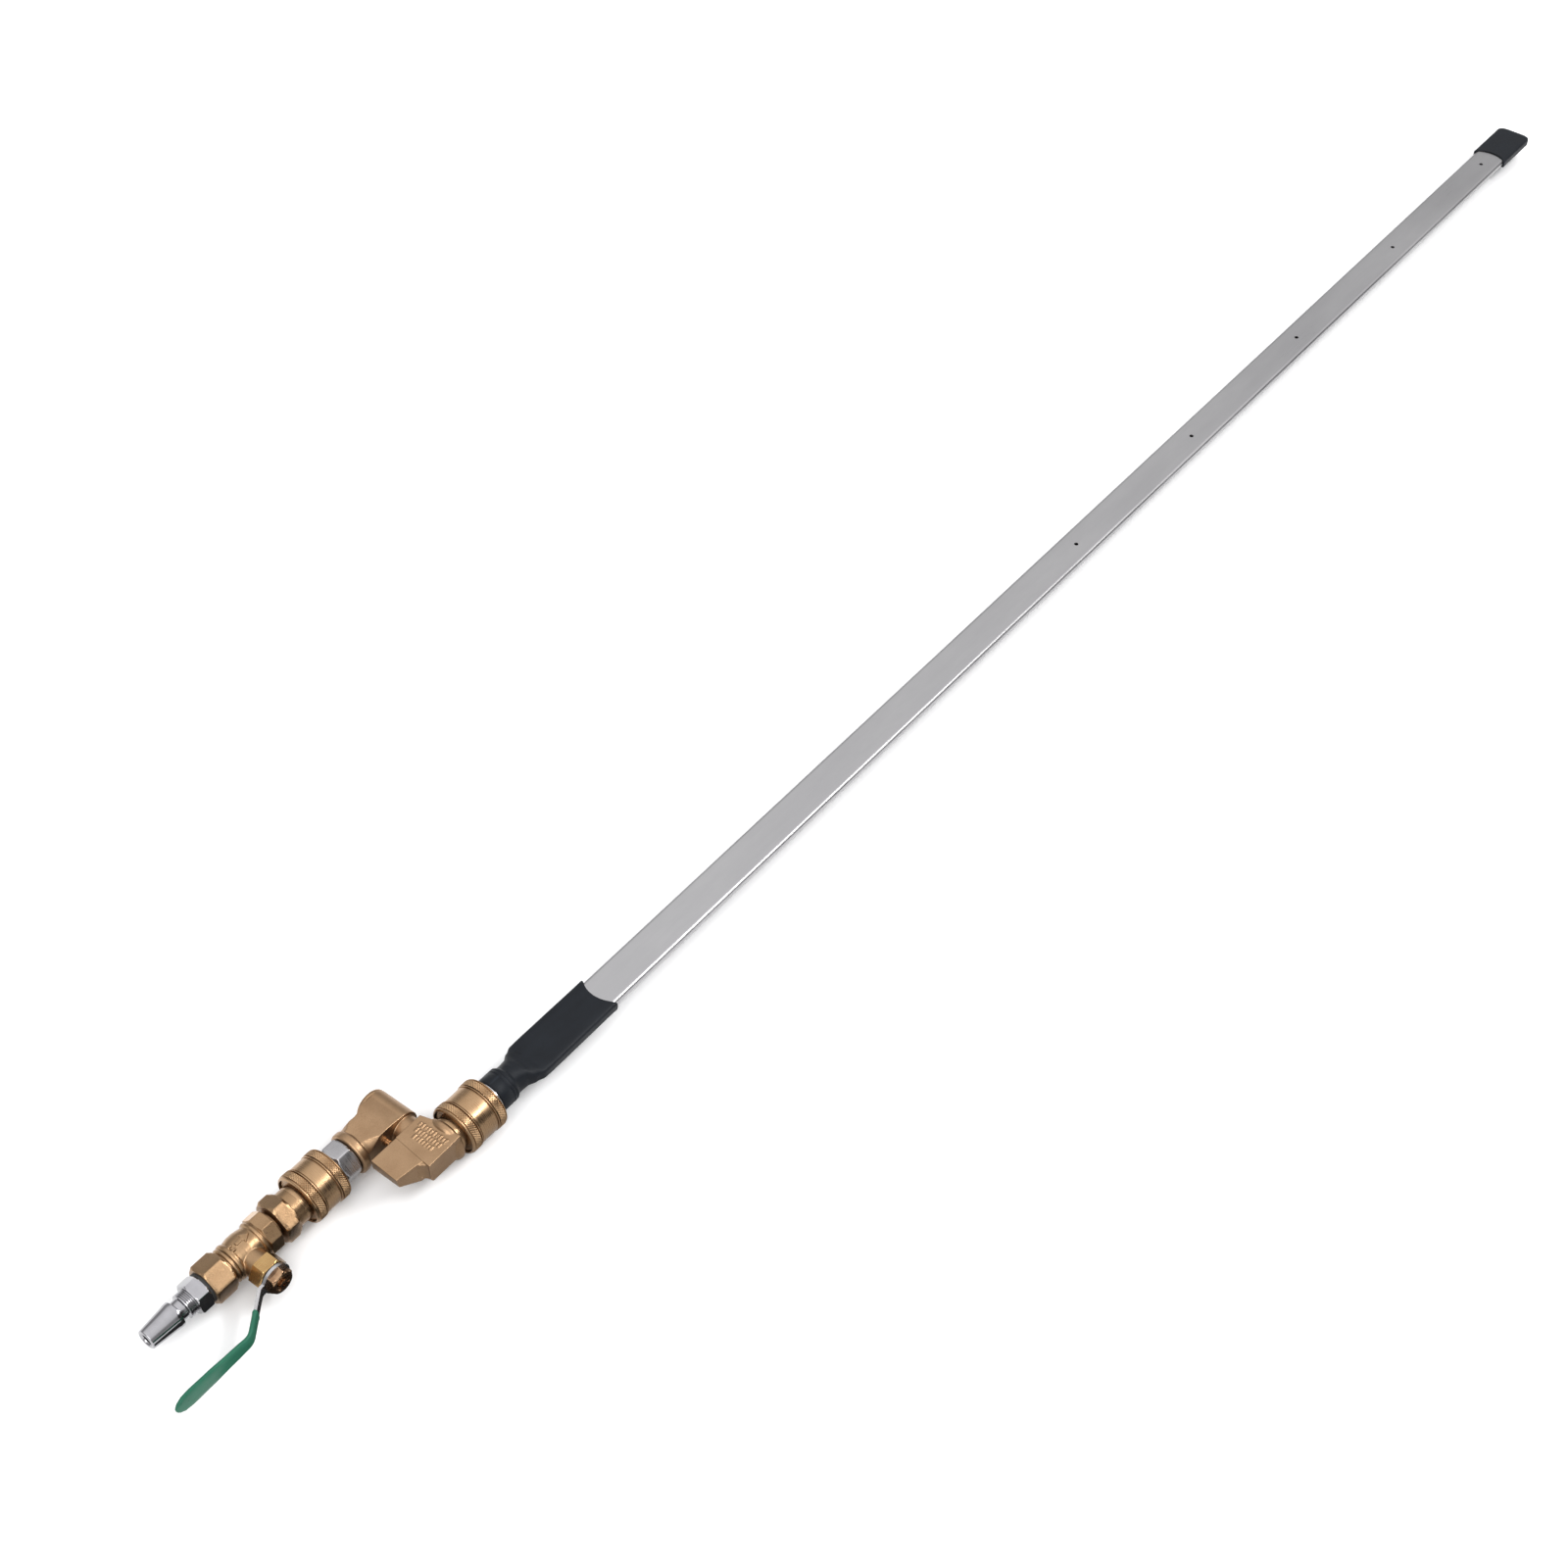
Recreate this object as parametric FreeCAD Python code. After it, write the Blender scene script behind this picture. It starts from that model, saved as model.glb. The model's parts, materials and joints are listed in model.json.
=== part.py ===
"""Flat-blade spray lance with an offset swivel, two quick couplers and a lever ball valve.

Frame: origin on the inlet plug's seal land, +X along the lance towards its tip, +Z up.
The inlet pipe axis is the X axis.  The lance axis is parallel to it at y = LANCE_Y.
The swivel turns about a Y-parallel axis at x = HINGE_X.  All sizes are millimetres.
"""
import FreeCAD, Part
import math
import os

os.makedirs("parts", exist_ok=True)

V = FreeCAD.Vector
X_DIR = V(1, 0, 0)
Y_DIR = V(0, 1, 0)
Z_DIR = V(0, 0, 1)

# ---- driving dimensions: layout ------------------------------------------------------
LANCE_Y = -26.4          # lance axis, beside the inlet pipe axis
HINGE_X = 121.0          # swivel axis
BALL_X = 37.0            # centre of the valve ball and its stem
LOWER_SLEEVE_X = 67.9    # rear end of the lower coupler's sleeve
UPPER_SLEEVE_X = 132.5   # rear end of the upper coupler's sleeve

# ---- quick-connect plug, the same form on the inlet, the lower nipple and the lance ---
PLUG_LAND_R = 6.0
PLUG_LAND = (13.6, 15.4)         # seal land, measured from the nose
PLUG_GROOVE_R = 4.6
PLUG_GROOVE_MID = 17.7
PLUG_HEX_START = 23.0
PLUG_BORE_R = 2.7
INLET_NOSE_X = -sum(PLUG_LAND) / 2
INLET_HEX_AF = 14.0
INLET_HEX_LEN = 6.6
INLET_HEX_TURN = 48              # degrees that a flat's normal is turned from +Y
THREAD_R = 6.35                  # quarter-inch taper thread, drawn plain
THREAD_GAP = 0.05

# ---- ball valve -------------------------------------------------------------------------
GASKET_LEN = 1.1
CAP_X = INLET_NOSE_X + PLUG_HEX_START + INLET_HEX_LEN + GASKET_LEN
CAP_HEX_LEN = 10.7
CAP_HEX_AF = 17.0
BODY_X = CAP_X + CAP_HEX_LEN + 2.8
VALVE_OUT_X = 51.9
VALVE_OUT_LEN = 6.4
VALVE_OUT_AF = 17.6
BALL_R = 6.0
FLOW_R = 3.5
STEM_R = 2.4
RUN_GAP = 0.05
GLAND_Y = -11.5
GLAND_LEN = 6.6
GLAND_AF = 13.4
LEVER_Y = -18.6                  # inner face of the lever's head
LEVER_T = 1.4
LEVER_HEAD_R = 6.9
LEVER_NUT_AF = 10.6
LEVER_NUT_LEN = 3.6
LEVER_LINE = ((-4.0, 0.0), (-8.4, 0.0), (-25.8, -13.0), (-61.0, -13.0))   # from the stem, plan
LEVER_BEND_R = 3.0
GRIP_BEND_R = 7.0
LEVER_W = 5.4
GRIP_T = 2.3
GRIP_START = 0.46                # where the grip begins, as a share of the sloping run
GRIP_OUTLINE = ((-14.0, 3.2), (-26.0, 3.4), (-36.0, 4.0), (-48.0, 4.8), (-57.0, 5.1),
                (-62.0, 4.2), (-64.6, 2.2), (-65.2, 0.0))   # (from the stem, half width)

# ---- quick coupler ------------------------------------------------------------------------
LOWER_SLEEVE_LEN = 19.2
UPPER_SLEEVE_LEN = 21.0
SLEEVE_R = 12.4
SLEEVE_BORE_R = 11.0
SLEEVE_LAND_R = 8.0
SLEEVE_LAND = (13.0, 17.3)
WAIST_R = 11.9
BARREL_R = 8.55
FLANGE_R = 10.6
NOSE_R = 7.9
BARREL_LEN = 8.7                 # the sleeve's land slides back to here
SOCKET_R = PLUG_LAND_R + 0.08
COUPLER_NOSE_U = -2.8            # plug nose, measured from the sleeve's rear end
LOCK_BALL_R = 1.6
LOCK_BALLS = 6
SPRING_RUNS = 12                  # straight runs in one turn of a spring
ADAPTER_HEX_AF = 19.0
ADAPTER_HEX = (-14.1, -6.8)

# ---- swivel -------------------------------------------------------------------------------
NIPPLE_HEX_AF = 17.0
NIPPLE_HEX_LEN = 8.2
COLLAR_X = 96.7
COLLAR_R = 10.2
BARREL_Y = (-13.6, 9.5)          # ends of the inlet casting's cross barrel
CROSS_R = 8.1
BOSS_R = 6.6                     # the barrel's narrower end, beyond the side wall
WEB_HEIGHT = 9.0                 # highest point of the web above the pipe axis
WALL_Y = -8.8                    # flat side wall of the inlet casting
SEAM_Y = -14.4                   # face of the outlet casting
OUTLET_Y = -35.8                 # far side of the outlet casting's hub block
LUG_TIP_X = 96.6
HUB_X = (109.8, 129.0)
SPINDLE_R = 4.0
TOP_Z = 8.9
BOTTOM_Z = -8.8
NECK_R = 9.6
NECK_BEAD_R = 10.6
STOP_X = 111.0                   # stop pin, in the side wall
STOP_Z = 2.0

# ---- lance ----------------------------------------------------------------------------------
BLADE_W = 19.0
BLADE_T = 4.2
BLADE_WALL = 0.8
BLADE_X = (180.0, 1108.0)
JET_R = 1.15
JET_FIRST_X = 607.0
JET_PITCH = 114.8
JETS = 5
BOOT_X = (155.2, 226.5)
BOOT_NOTCH_R = 16.0
CAP_MOUTH_X = 1077.4
TIP_X = 1113.5
TIP_CORNER_R = 4.0


# ---- helpers --------------------------------------------------------------------------------
def revolve(points, y=0.0):
    """Solid of revolution about the X-parallel axis at y, from a closed (x, r) outline."""
    corners = [V(px, y + pr, 0) for px, pr in points]
    face = Part.Face(Part.makePolygon(corners + [corners[0]]))
    return face.revolve(V(0, y, 0), X_DIR, 360)


def ring(x0, x1, r_in, r_out, y=0.0):
    """Plain ring about the X-parallel axis at y."""
    return revolve([(x0, r_in), (x1, r_in), (x1, r_out), (x0, r_out)], y)


def rod(x0, x1, r, y=0.0):
    """Plain cylinder along X."""
    return Part.makeCylinder(r, x1 - x0, V(x0, y, 0), X_DIR)


def cross_rod(y0, y1, r, x, z=0.0):
    """Plain cylinder along Y, between y0 and y1."""
    low, high = min(y0, y1), max(y0, y1)
    return Part.makeCylinder(r, high - low, V(x, low, z), Y_DIR)


def polygon_prism(sides, across_flats, start, direction, length, turn=0.0):
    """Prism with the given number of flats, from a start point along a direction."""
    r = across_flats / 2 / math.cos(math.pi / sides)
    corners = []
    for i in range(sides + 1):
        a = math.radians(turn) + 2 * math.pi * i / sides
        corners.append(V(r * math.cos(a), r * math.sin(a), 0))
    prism = Part.Face(Part.makePolygon(corners)).extrude(V(0, 0, length))
    prism.Placement = FreeCAD.Placement(start, FreeCAD.Rotation(Z_DIR, direction))
    return prism


def nut_form(sides, across_flats, x0, x1, y=0.0, turn=0.0, crown=0.93):
    """Hexagon or octagon along X whose corners are turned off at both ends."""
    prism = polygon_prism(sides, across_flats, V(x0, y, 0), X_DIR, x1 - x0, turn)
    r_flat = across_flats / 2
    r_corner = r_flat / math.cos(math.pi / sides)
    r_end = r_flat * (0.35 + 0.65 * crown) + 0.35
    run = r_corner - r_end
    turned = [(x0, 0), (x1, 0), (x1, r_end), (x1 - run * 0.6, r_corner),
              (x0 + run * 0.6, r_corner), (x0, r_end)]
    return prism.common(revolve(turned, y))


def torus_ring(x, r_mid, r_wire, y=0.0):
    """O-ring about the X-parallel axis at y."""
    return Part.makeTorus(r_mid, r_wire, V(x, y, 0), X_DIR)


def coil_spring(x0, x1, r_mid, r_wire, turns, y=0.0):
    """Round-wire spring along X, inside x0 to x1; each turn is a ring of straight runs."""
    length = x1 - x0 - 2 * r_wire
    runs = turns * SPRING_RUNS
    corners = []
    for i in range(runs + 1):
        a = 2 * math.pi * i / SPRING_RUNS
        corners.append(V(x0 + r_wire + length * i / runs,
                         y + r_mid * math.cos(a), r_mid * math.sin(a)))
    section = Part.Wire(Part.makeCircle(r_wire, corners[0], corners[1] - corners[0]))
    return Part.makePolygon(corners).makePipeShell([section], True, False, 1)


def rounded_wire(x, width, height, corner, y=0.0, z=0.0):
    """Rounded rectangle in a plane across X: width along Y, height along Z."""
    a, b, c = width / 2, height / 2, corner
    s = c * (1 - math.sqrt(0.5))
    p = [V(x, y + py, z + pz) for py, pz in (
        (a - c, b), (a - s, b - s), (a, b - c),
        (a, c - b), (a - s, s - b), (a - c, -b),
        (c - a, -b), (s - a, s - b), (-a, c - b),
        (-a, b - c), (s - a, b - s), (c - a, b))]
    edges = []
    for i in range(0, 12, 3):
        edges.append(Part.Arc(p[i], p[i + 1], p[i + 2]).toShape())
        edges.append(Part.makeLine(p[i + 2], p[(i + 3) % 12]))
    return Part.Wire(edges)


def flat_bar(x0, x1, width, height, corner, y=LANCE_Y):
    """Flat bar or tube blank along X with rounded edges."""
    face = Part.Face(rounded_wire(x0, width, height, corner, y))
    return face.extrude(V(x1 - x0, 0, 0))


def union(shapes):
    """One solid from overlapping ones."""
    return shapes[0].multiFuse(shapes[1:]).removeSplitter()


def save(name, shape):
    """Write one node."""
    if not shape.isValid():
        print("INVALID", name)
    box = shape.BoundBox
    print("%-22s solids %d vol %8.1f  x %.1f..%.1f y %.1f..%.1f z %.1f..%.1f" % (
        name, len(shape.Solids), shape.Volume, box.XMin, box.XMax, box.YMin, box.YMax,
        box.ZMin, box.ZMax))
    shape.exportStep("parts/" + name + ".step")


# ---- quick-connect plugs ----------------------------------------------------------------------
def plug_outline(nose_x, hex_r):
    """Outer (x, r) outline of a plug from its nose to the start of its hexagon."""
    land_a, land_b = PLUG_LAND
    points = [(0.0, 4.2), (0.5, 4.6), (12.6, 5.8), (land_a, PLUG_LAND_R),
              (land_b, PLUG_LAND_R), (16.2, PLUG_GROOVE_R), (19.2, PLUG_GROOVE_R),
              (19.7, 5.7), (20.3, 5.7), (20.6, 5.15), (21.1, 5.15), (21.4, 5.7),
              (22.0, 5.7), (22.3, 5.15), (PLUG_HEX_START, 5.15), (PLUG_HEX_START, hex_r)]
    return [(nose_x + px, pr) for px, pr in points]


def plug_body(nose_x, end_x, tail_r, y=0.0):
    """Bored plug from nose to end_x; behind the hexagon's start it has radius tail_r."""
    outline = plug_outline(nose_x, tail_r)
    outline += [(end_x - 0.6, tail_r), (end_x, tail_r - 0.6), (end_x, PLUG_BORE_R),
                (nose_x + 0.6, PLUG_BORE_R), (nose_x, PLUG_BORE_R + 0.5)]
    return revolve(outline, y)


def make_inlet_plug():
    """Chromed hose plug screwed into the valve, and its sealing washer."""
    hex_x = INLET_NOSE_X + PLUG_HEX_START
    hex_end = hex_x + INLET_HEX_LEN
    body = plug_body(INLET_NOSE_X, CAP_X + 8.5, THREAD_R)
    flats = nut_form(6, INLET_HEX_AF, hex_x, hex_end, turn=INLET_HEX_TURN)
    bore = rod(hex_x - 1, hex_end + 1, PLUG_BORE_R + 0.001)
    save("inlet_plug", union([body, flats.cut(bore)]))
    save("inlet_gasket", ring(hex_end, CAP_X, THREAD_R + THREAD_GAP, 7.3))


# ---- ball valve ----------------------------------------------------------------------------------
def make_valve_end_cap():
    """Screwed-in inlet end of the valve: hexagon, neck and thread."""
    hex_end = CAP_X + CAP_HEX_LEN
    flats = nut_form(6, CAP_HEX_AF, CAP_X, hex_end, turn=8)
    neck = revolve([(hex_end - 1, 0), (BODY_X + 3.2, 0), (BODY_X + 3.2, 7.0), (BODY_X, 7.0),
                    (BODY_X, 8.0), (BODY_X - 0.7, 8.3), (BODY_X - 1.4, 8.0),
                    (BODY_X - 1.7, 7.4), (hex_end - 1, 7.4)])
    socket = rod(CAP_X - 1, CAP_X + 9.2, THREAD_R + THREAD_GAP)
    flow = rod(CAP_X, BODY_X + 4, FLOW_R)
    seat_room = rod(BODY_X - 0.4, BODY_X + 4, 6.35)
    save("valve_end_cap", union([flats, neck]).cut(socket).cut(flow).cut(seat_room))


def make_valve_body():
    """Cast valve body: threaded bead, ball housing, stem boss and octagonal outlet."""
    x = BODY_X
    nut_x = VALVE_OUT_X - VALVE_OUT_LEN
    housing = revolve([(x, 0), (nut_x + 1, 0), (nut_x + 1, 7.7), (nut_x - 0.2, 7.7),
                       (nut_x - 0.5, 8.6), (nut_x - 1.3, 8.9), (nut_x - 2.1, 8.6),
                       (nut_x - 2.6, 7.9), (BALL_X + 3.6, 8.3), (BALL_X + 1.5, 8.65),
                       (BALL_X - 1.5, 8.65), (BALL_X - 3.6, 8.2), (x + 2.6, 7.9),
                       (x + 2.1, 8.5), (x + 1.3, 8.7), (x + 0.5, 8.5), (x, 8.1)])
    outlet = nut_form(8, VALVE_OUT_AF, nut_x, VALVE_OUT_X, turn=22.5)
    boss = cross_rod(-5.0, GLAND_Y, 6.3, BALL_X)
    solid = union([housing, outlet, boss])
    chamber = rod(x - 1, BALL_X + 6.3, 6.35)
    thread = rod(x - 1, x + 3.3, 7.05)
    flow = rod(BALL_X, VALVE_OUT_X, FLOW_R)
    socket = rod(VALVE_OUT_X - 6.4, VALVE_OUT_X + 1, THREAD_R + THREAD_GAP)
    stem_hole = cross_rod(0, GLAND_Y - 1, STEM_R + RUN_GAP, BALL_X)
    collar_room = cross_rod(0, -7.6, 3.7, BALL_X)
    packing_room = cross_rod(-8.6, GLAND_Y - 1, 4.25, BALL_X)
    for tool in (chamber, thread, flow, socket, stem_hole, collar_room, packing_room):
        solid = solid.cut(tool)
    save("valve_body", solid)


def make_valve_trim():
    """Seats, ball, stem, packing and gland nut."""
    sphere = Part.makeSphere(BALL_R + 0.1, V(BALL_X, 0, 0))
    seat_in = ring(BALL_X - 7.3, BALL_X - 3.9, FLOW_R + 0.1, 6.3).cut(sphere)
    seat_out = ring(BALL_X + 3.9, BALL_X + 6.25, FLOW_R + 0.1, 6.3).cut(sphere)
    save("seat_inlet", seat_in)
    save("seat_outlet", seat_out)

    ball = Part.makeSphere(BALL_R, V(BALL_X, 0, 0)).cut(rod(BALL_X - 7, BALL_X + 7, FLOW_R))
    slot = Part.makeBox(9.0, 2.4, 2.2, V(BALL_X - 4.5, -6.2, -1.1))
    save("valve_ball", ball.cut(slot))

    tang = Part.makeBox(5.0, 2.4, 2.0, V(BALL_X - 2.5, -6.6, -1.0))
    collar = cross_rod(-6.3, -7.4, 3.5, BALL_X)
    nut_end = LEVER_Y - LEVER_T - LEVER_NUT_LEN
    shank = cross_rod(-7.0, nut_end - 0.8, STEM_R, BALL_X)
    groove = Part.makeBox(6.0, 1.0, 0.8, V(BALL_X - 3.0, nut_end - 0.9, -0.4))
    save("valve_stem", union([tang, collar, shank]).cut(groove))

    packing = cross_rod(-8.7, GLAND_Y, 4.2, BALL_X)
    save("stem_packing", packing.cut(cross_rod(0, -20, STEM_R + RUN_GAP, BALL_X)))

    start = V(BALL_X, GLAND_Y, 0)
    gland = polygon_prism(6, GLAND_AF, start, V(0, -1, 0), GLAND_LEN, turn=0)
    cone = Part.makeCone(7.2, 8.4, 1.2, V(BALL_X, GLAND_Y - GLAND_LEN, 0), Y_DIR)
    blank = cross_rod(GLAND_Y - GLAND_LEN + 1.2, GLAND_Y, 8.4, BALL_X)
    gland = gland.common(cone.fuse(blank))
    save("gland_nut", gland.cut(cross_rod(0, -20, STEM_R + RUN_GAP, BALL_X)))


def crank_strip(points, width, thickness, inner_r):
    """Cranked strip in the XY plane along a centre line from the stem, with rounded bends."""
    left, right = [], []
    for i, (px, py) in enumerate(points):
        normals = []
        for a, b in zip(points[max(i - 1, 0):], points[max(i, 1):i + 2]):
            n = math.hypot(b[0] - a[0], b[1] - a[1])
            normals.append(V((a[1] - b[1]) / n, (b[0] - a[0]) / n, 0))
        mitre = sum(normals, V()) / len(normals)
        offset = mitre * (thickness / 2 / mitre.dot(mitre))
        centre = V(px, py, -width / 2)
        left.append(centre + offset)
        right.append(centre - offset)
    outline = left + right[::-1]
    strip = Part.Face(Part.makePolygon(outline + [outline[0]])).extrude(V(0, 0, width))
    strip.translate(V(BALL_X, LEVER_Y - LEVER_T / 2, 0))
    far = BALL_X + points[-1][0] + 1
    near = BALL_X + points[0][0] - 1
    bends = [e for e in strip.Edges if e.BoundBox.ZLength > width - 0.1
             and far < e.BoundBox.XMin < near]
    return strip.makeFillet(inner_r, bends)


def grip_side_view():
    """Leaf-shaped block, seen along Y, that the grip is cut from."""
    tip = [V(BALL_X + along, -60, half) for along, half in GRIP_OUTLINE]
    back = [V(p.x, p.y, -p.z) for p in tip[-2::-1]]
    curve = Part.BSplineCurve()
    curve.interpolate(tip + back)
    root = Part.makeLine(back[-1], tip[0])
    return Part.Face(Part.Wire([curve.toShape(), root])).extrude(V(0, 60, 0))


def make_lever():
    """Pressed lever with its dipped vinyl grip and the stem nut."""
    strip = crank_strip(LEVER_LINE, LEVER_W, LEVER_T, LEVER_BEND_R)
    head = cross_rod(LEVER_Y, LEVER_Y - LEVER_T, LEVER_HEAD_R, BALL_X)
    stem_hole = cross_rod(LEVER_Y + 1, LEVER_Y - LEVER_T - 1, STEM_R + 0.02, BALL_X)
    arm = union([strip, head]).cut(stem_hole)
    save("lever_arm", arm)

    a, b, end = LEVER_LINE[1:]
    start = (a[0] + (b[0] - a[0]) * GRIP_START, a[1] + (b[1] - a[1]) * GRIP_START)
    widest = max(half for along, half in GRIP_OUTLINE)
    far = (GRIP_OUTLINE[-1][0] - 1, end[1])
    skin = crank_strip((start, b, far), 2 * widest + 1, GRIP_T, GRIP_BEND_R)
    save("lever_grip", skin.common(grip_side_view()).cut(strip))

    nut_end = LEVER_Y - LEVER_T - LEVER_NUT_LEN
    start = V(BALL_X, LEVER_Y - LEVER_T, 0)
    nut = polygon_prism(6, LEVER_NUT_AF, start, V(0, -1, 0), LEVER_NUT_LEN, turn=12)
    dome = Part.makeCone(5.0, 6.4, 1.0, V(BALL_X, nut_end, 0), Y_DIR)
    blank = cross_rod(nut_end + 1.0, LEVER_Y - LEVER_T, 6.4, BALL_X)
    nut = nut.common(dome.fuse(blank))
    save("lever_nut", nut.cut(cross_rod(0, -40, STEM_R + 0.02, BALL_X)))


# ---- quick couplers -------------------------------------------------------------------------------
def coupler_sleeve(u, y, end):
    """Sliding sleeve: waisted outline with a raised lip and two grooves at each end."""
    r = SLEEVE_R
    outer = [(0.0, r - 0.9), (0.5, r - 0.2), (0.9, r), (3.4, r), (3.6, r - 0.35), (4.0, r - 0.35),
             (4.2, r), (4.5, r), (4.7, r - 0.35), (5.1, r - 0.35), (5.9, WAIST_R),
             (end - 5.2, WAIST_R), (end - 4.4, r - 0.35), (end - 4.0, r - 0.35),
             (end - 3.8, r), (end - 1.2, r), (end - 0.9, r - 0.5), (end - 0.5, r - 0.6),
             (end, r - 1.2)]
    inner = [(end, 10.2), (end - 0.3, 9.95), (SLEEVE_LAND[1], 9.95), (SLEEVE_LAND[1], SLEEVE_LAND_R),
             (SLEEVE_LAND[0], SLEEVE_LAND_R), (SLEEVE_LAND[0], SLEEVE_BORE_R),
             (0.0, SLEEVE_BORE_R)]
    return revolve([(u + px, pr) for px, pr in outer + inner], y)


def coupler_body(u, y, tail):
    """Socket that takes a plug: ball holes, seal groove, sleeve flange.  tail is its rear end."""
    front = 18.8
    outer = [(1.0, BARREL_R), (1.0, FLANGE_R), (2.6, FLANGE_R), (2.6, BARREL_R),
             (BARREL_LEN, BARREL_R), (BARREL_LEN, NOSE_R), (17.45, NOSE_R), (17.45, NOSE_R - 0.6),
             (18.35, NOSE_R - 0.6), (18.35, NOSE_R), (front - 0.3, NOSE_R),
             (front, NOSE_R - 0.4), (front, SOCKET_R + 0.5), (front - 0.5, SOCKET_R)]
    seal = [(12.55, SOCKET_R), (12.55, 7.45), (10.85, 7.45), (10.85, SOCKET_R)]
    outline = [(u + px, pr) for px, pr in outer + seal + tail]
    solid = revolve(outline, y)
    groove_u = u + COUPLER_NOSE_U + PLUG_GROOVE_MID
    for i in range(LOCK_BALLS):
        a = 2 * math.pi * i / LOCK_BALLS
        out = V(0, math.cos(a), math.sin(a))
        hole = Part.makeCylinder(LOCK_BALL_R + RUN_GAP, 6, V(groove_u, y, 0) + out * 4.0, out)
        solid = solid.cut(hole)
    return solid


def lock_balls(u, y):
    """Ring of locking balls in the plug's groove."""
    groove_u = u + COUPLER_NOSE_U + PLUG_GROOVE_MID
    centre_r = PLUG_GROOVE_R + LOCK_BALL_R + 0.1
    balls = []
    for i in range(LOCK_BALLS):
        a = 2 * math.pi * i / LOCK_BALLS
        centre = V(groove_u, y + centre_r * math.cos(a), centre_r * math.sin(a))
        balls.append(Part.makeSphere(LOCK_BALL_R, centre))
    return Part.makeCompound(balls)


def make_coupler(name, u, y, tail, sleeve_len):
    """Pieces that both couplers share."""
    save(name + "_coupler_body", coupler_body(u, y, tail))
    save(name + "_sleeve", coupler_sleeve(u, y, sleeve_len))
    spring = coil_spring(u + 2.65, u + SLEEVE_LAND[0] - 0.05, 9.75, 0.6, 4, y)
    save(name + "_sleeve_spring", spring)
    save(name + "_lock_balls", lock_balls(u, y))
    clip = ring(u + 17.5, u + 18.3, NOSE_R - 0.55, 9.4, y)
    gap = Part.makeBox(2, 2.4, 4, V(u + 17, y - 1.2, 6))
    save(name + "_snap_ring", clip.cut(gap))
    save(name + "_plug_seal", torus_ring(u + 11.7, PLUG_LAND_R + 0.77, 0.68, y))


def make_lower_coupler():
    """Coupler on the valve: hexagonal adapter with poppet and spring, and the socket."""
    u = LOWER_SLEEVE_X
    tail = [(1.6, SOCKET_R), (1.6, 7.05), (-2.5, 7.05), (-2.5, BARREL_R)]
    make_coupler("lower", u, 0.0, tail, LOWER_SLEEVE_LEN)

    a, b = ADAPTER_HEX
    flats = nut_form(6, ADAPTER_HEX_AF, u + a, u + b, turn=8)
    turned = revolve([(u - 21.0, 0), (u + 1.5, 0), (u + 1.5, 7.0), (u - 2.5, 7.0),
                      (u - 2.5, BARREL_R), (u + b - 0.5, BARREL_R), (u + a + 1, THREAD_R),
                      (u - 20.4, THREAD_R), (u - 21.0, THREAD_R - 0.6)])
    bore = rod(u - 13.4, u + 2, 5.0)
    flow = rod(u - 22, u, FLOW_R)
    save("lower_adapter", union([flats, turned]).cut(bore).cut(flow))

    nose_x = u + COUPLER_NOSE_U
    cup = ring(nose_x - 4.6, nose_x - 0.2, 2.6, 4.8)
    crown = ring(nose_x - 1.4, nose_x - 0.2, 0.0, 4.8)
    ports = rod(nose_x - 2, nose_x + 1, 0.9)
    poppet = union([cup, crown])
    for i in range(4):
        hole = ports.copy()
        a = math.pi / 4 + math.pi / 2 * i
        hole.translate(V(0, 2.0 * math.cos(a), 2.0 * math.sin(a)))
        poppet = poppet.cut(hole)
    save("lower_poppet", poppet)
    save("lower_poppet_spring", coil_spring(u - 13.35, nose_x - 4.65, 4.3, 0.4, 4))


# ---- swivel ------------------------------------------------------------------------------------------
def make_lower_nipple():
    """Steel nipple between the lower coupler and the swivel."""
    nose_x = LOWER_SLEEVE_X + COUPLER_NOSE_U
    hex_x = nose_x + PLUG_HEX_START
    body = plug_body(nose_x, COLLAR_X + 7.6, THREAD_R)
    flats = nut_form(6, NIPPLE_HEX_AF, hex_x, hex_x + NIPPLE_HEX_LEN, turn=22)
    bore = rod(hex_x - 1, hex_x + NIPPLE_HEX_LEN + 1, PLUG_BORE_R + 0.001)
    save("lower_nipple", union([body, flats.cut(bore)]))


def arc_edge(points):
    """Edge through three points: an arc."""
    return Part.Arc(*[V(*p) for p in points]).toShape()


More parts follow.
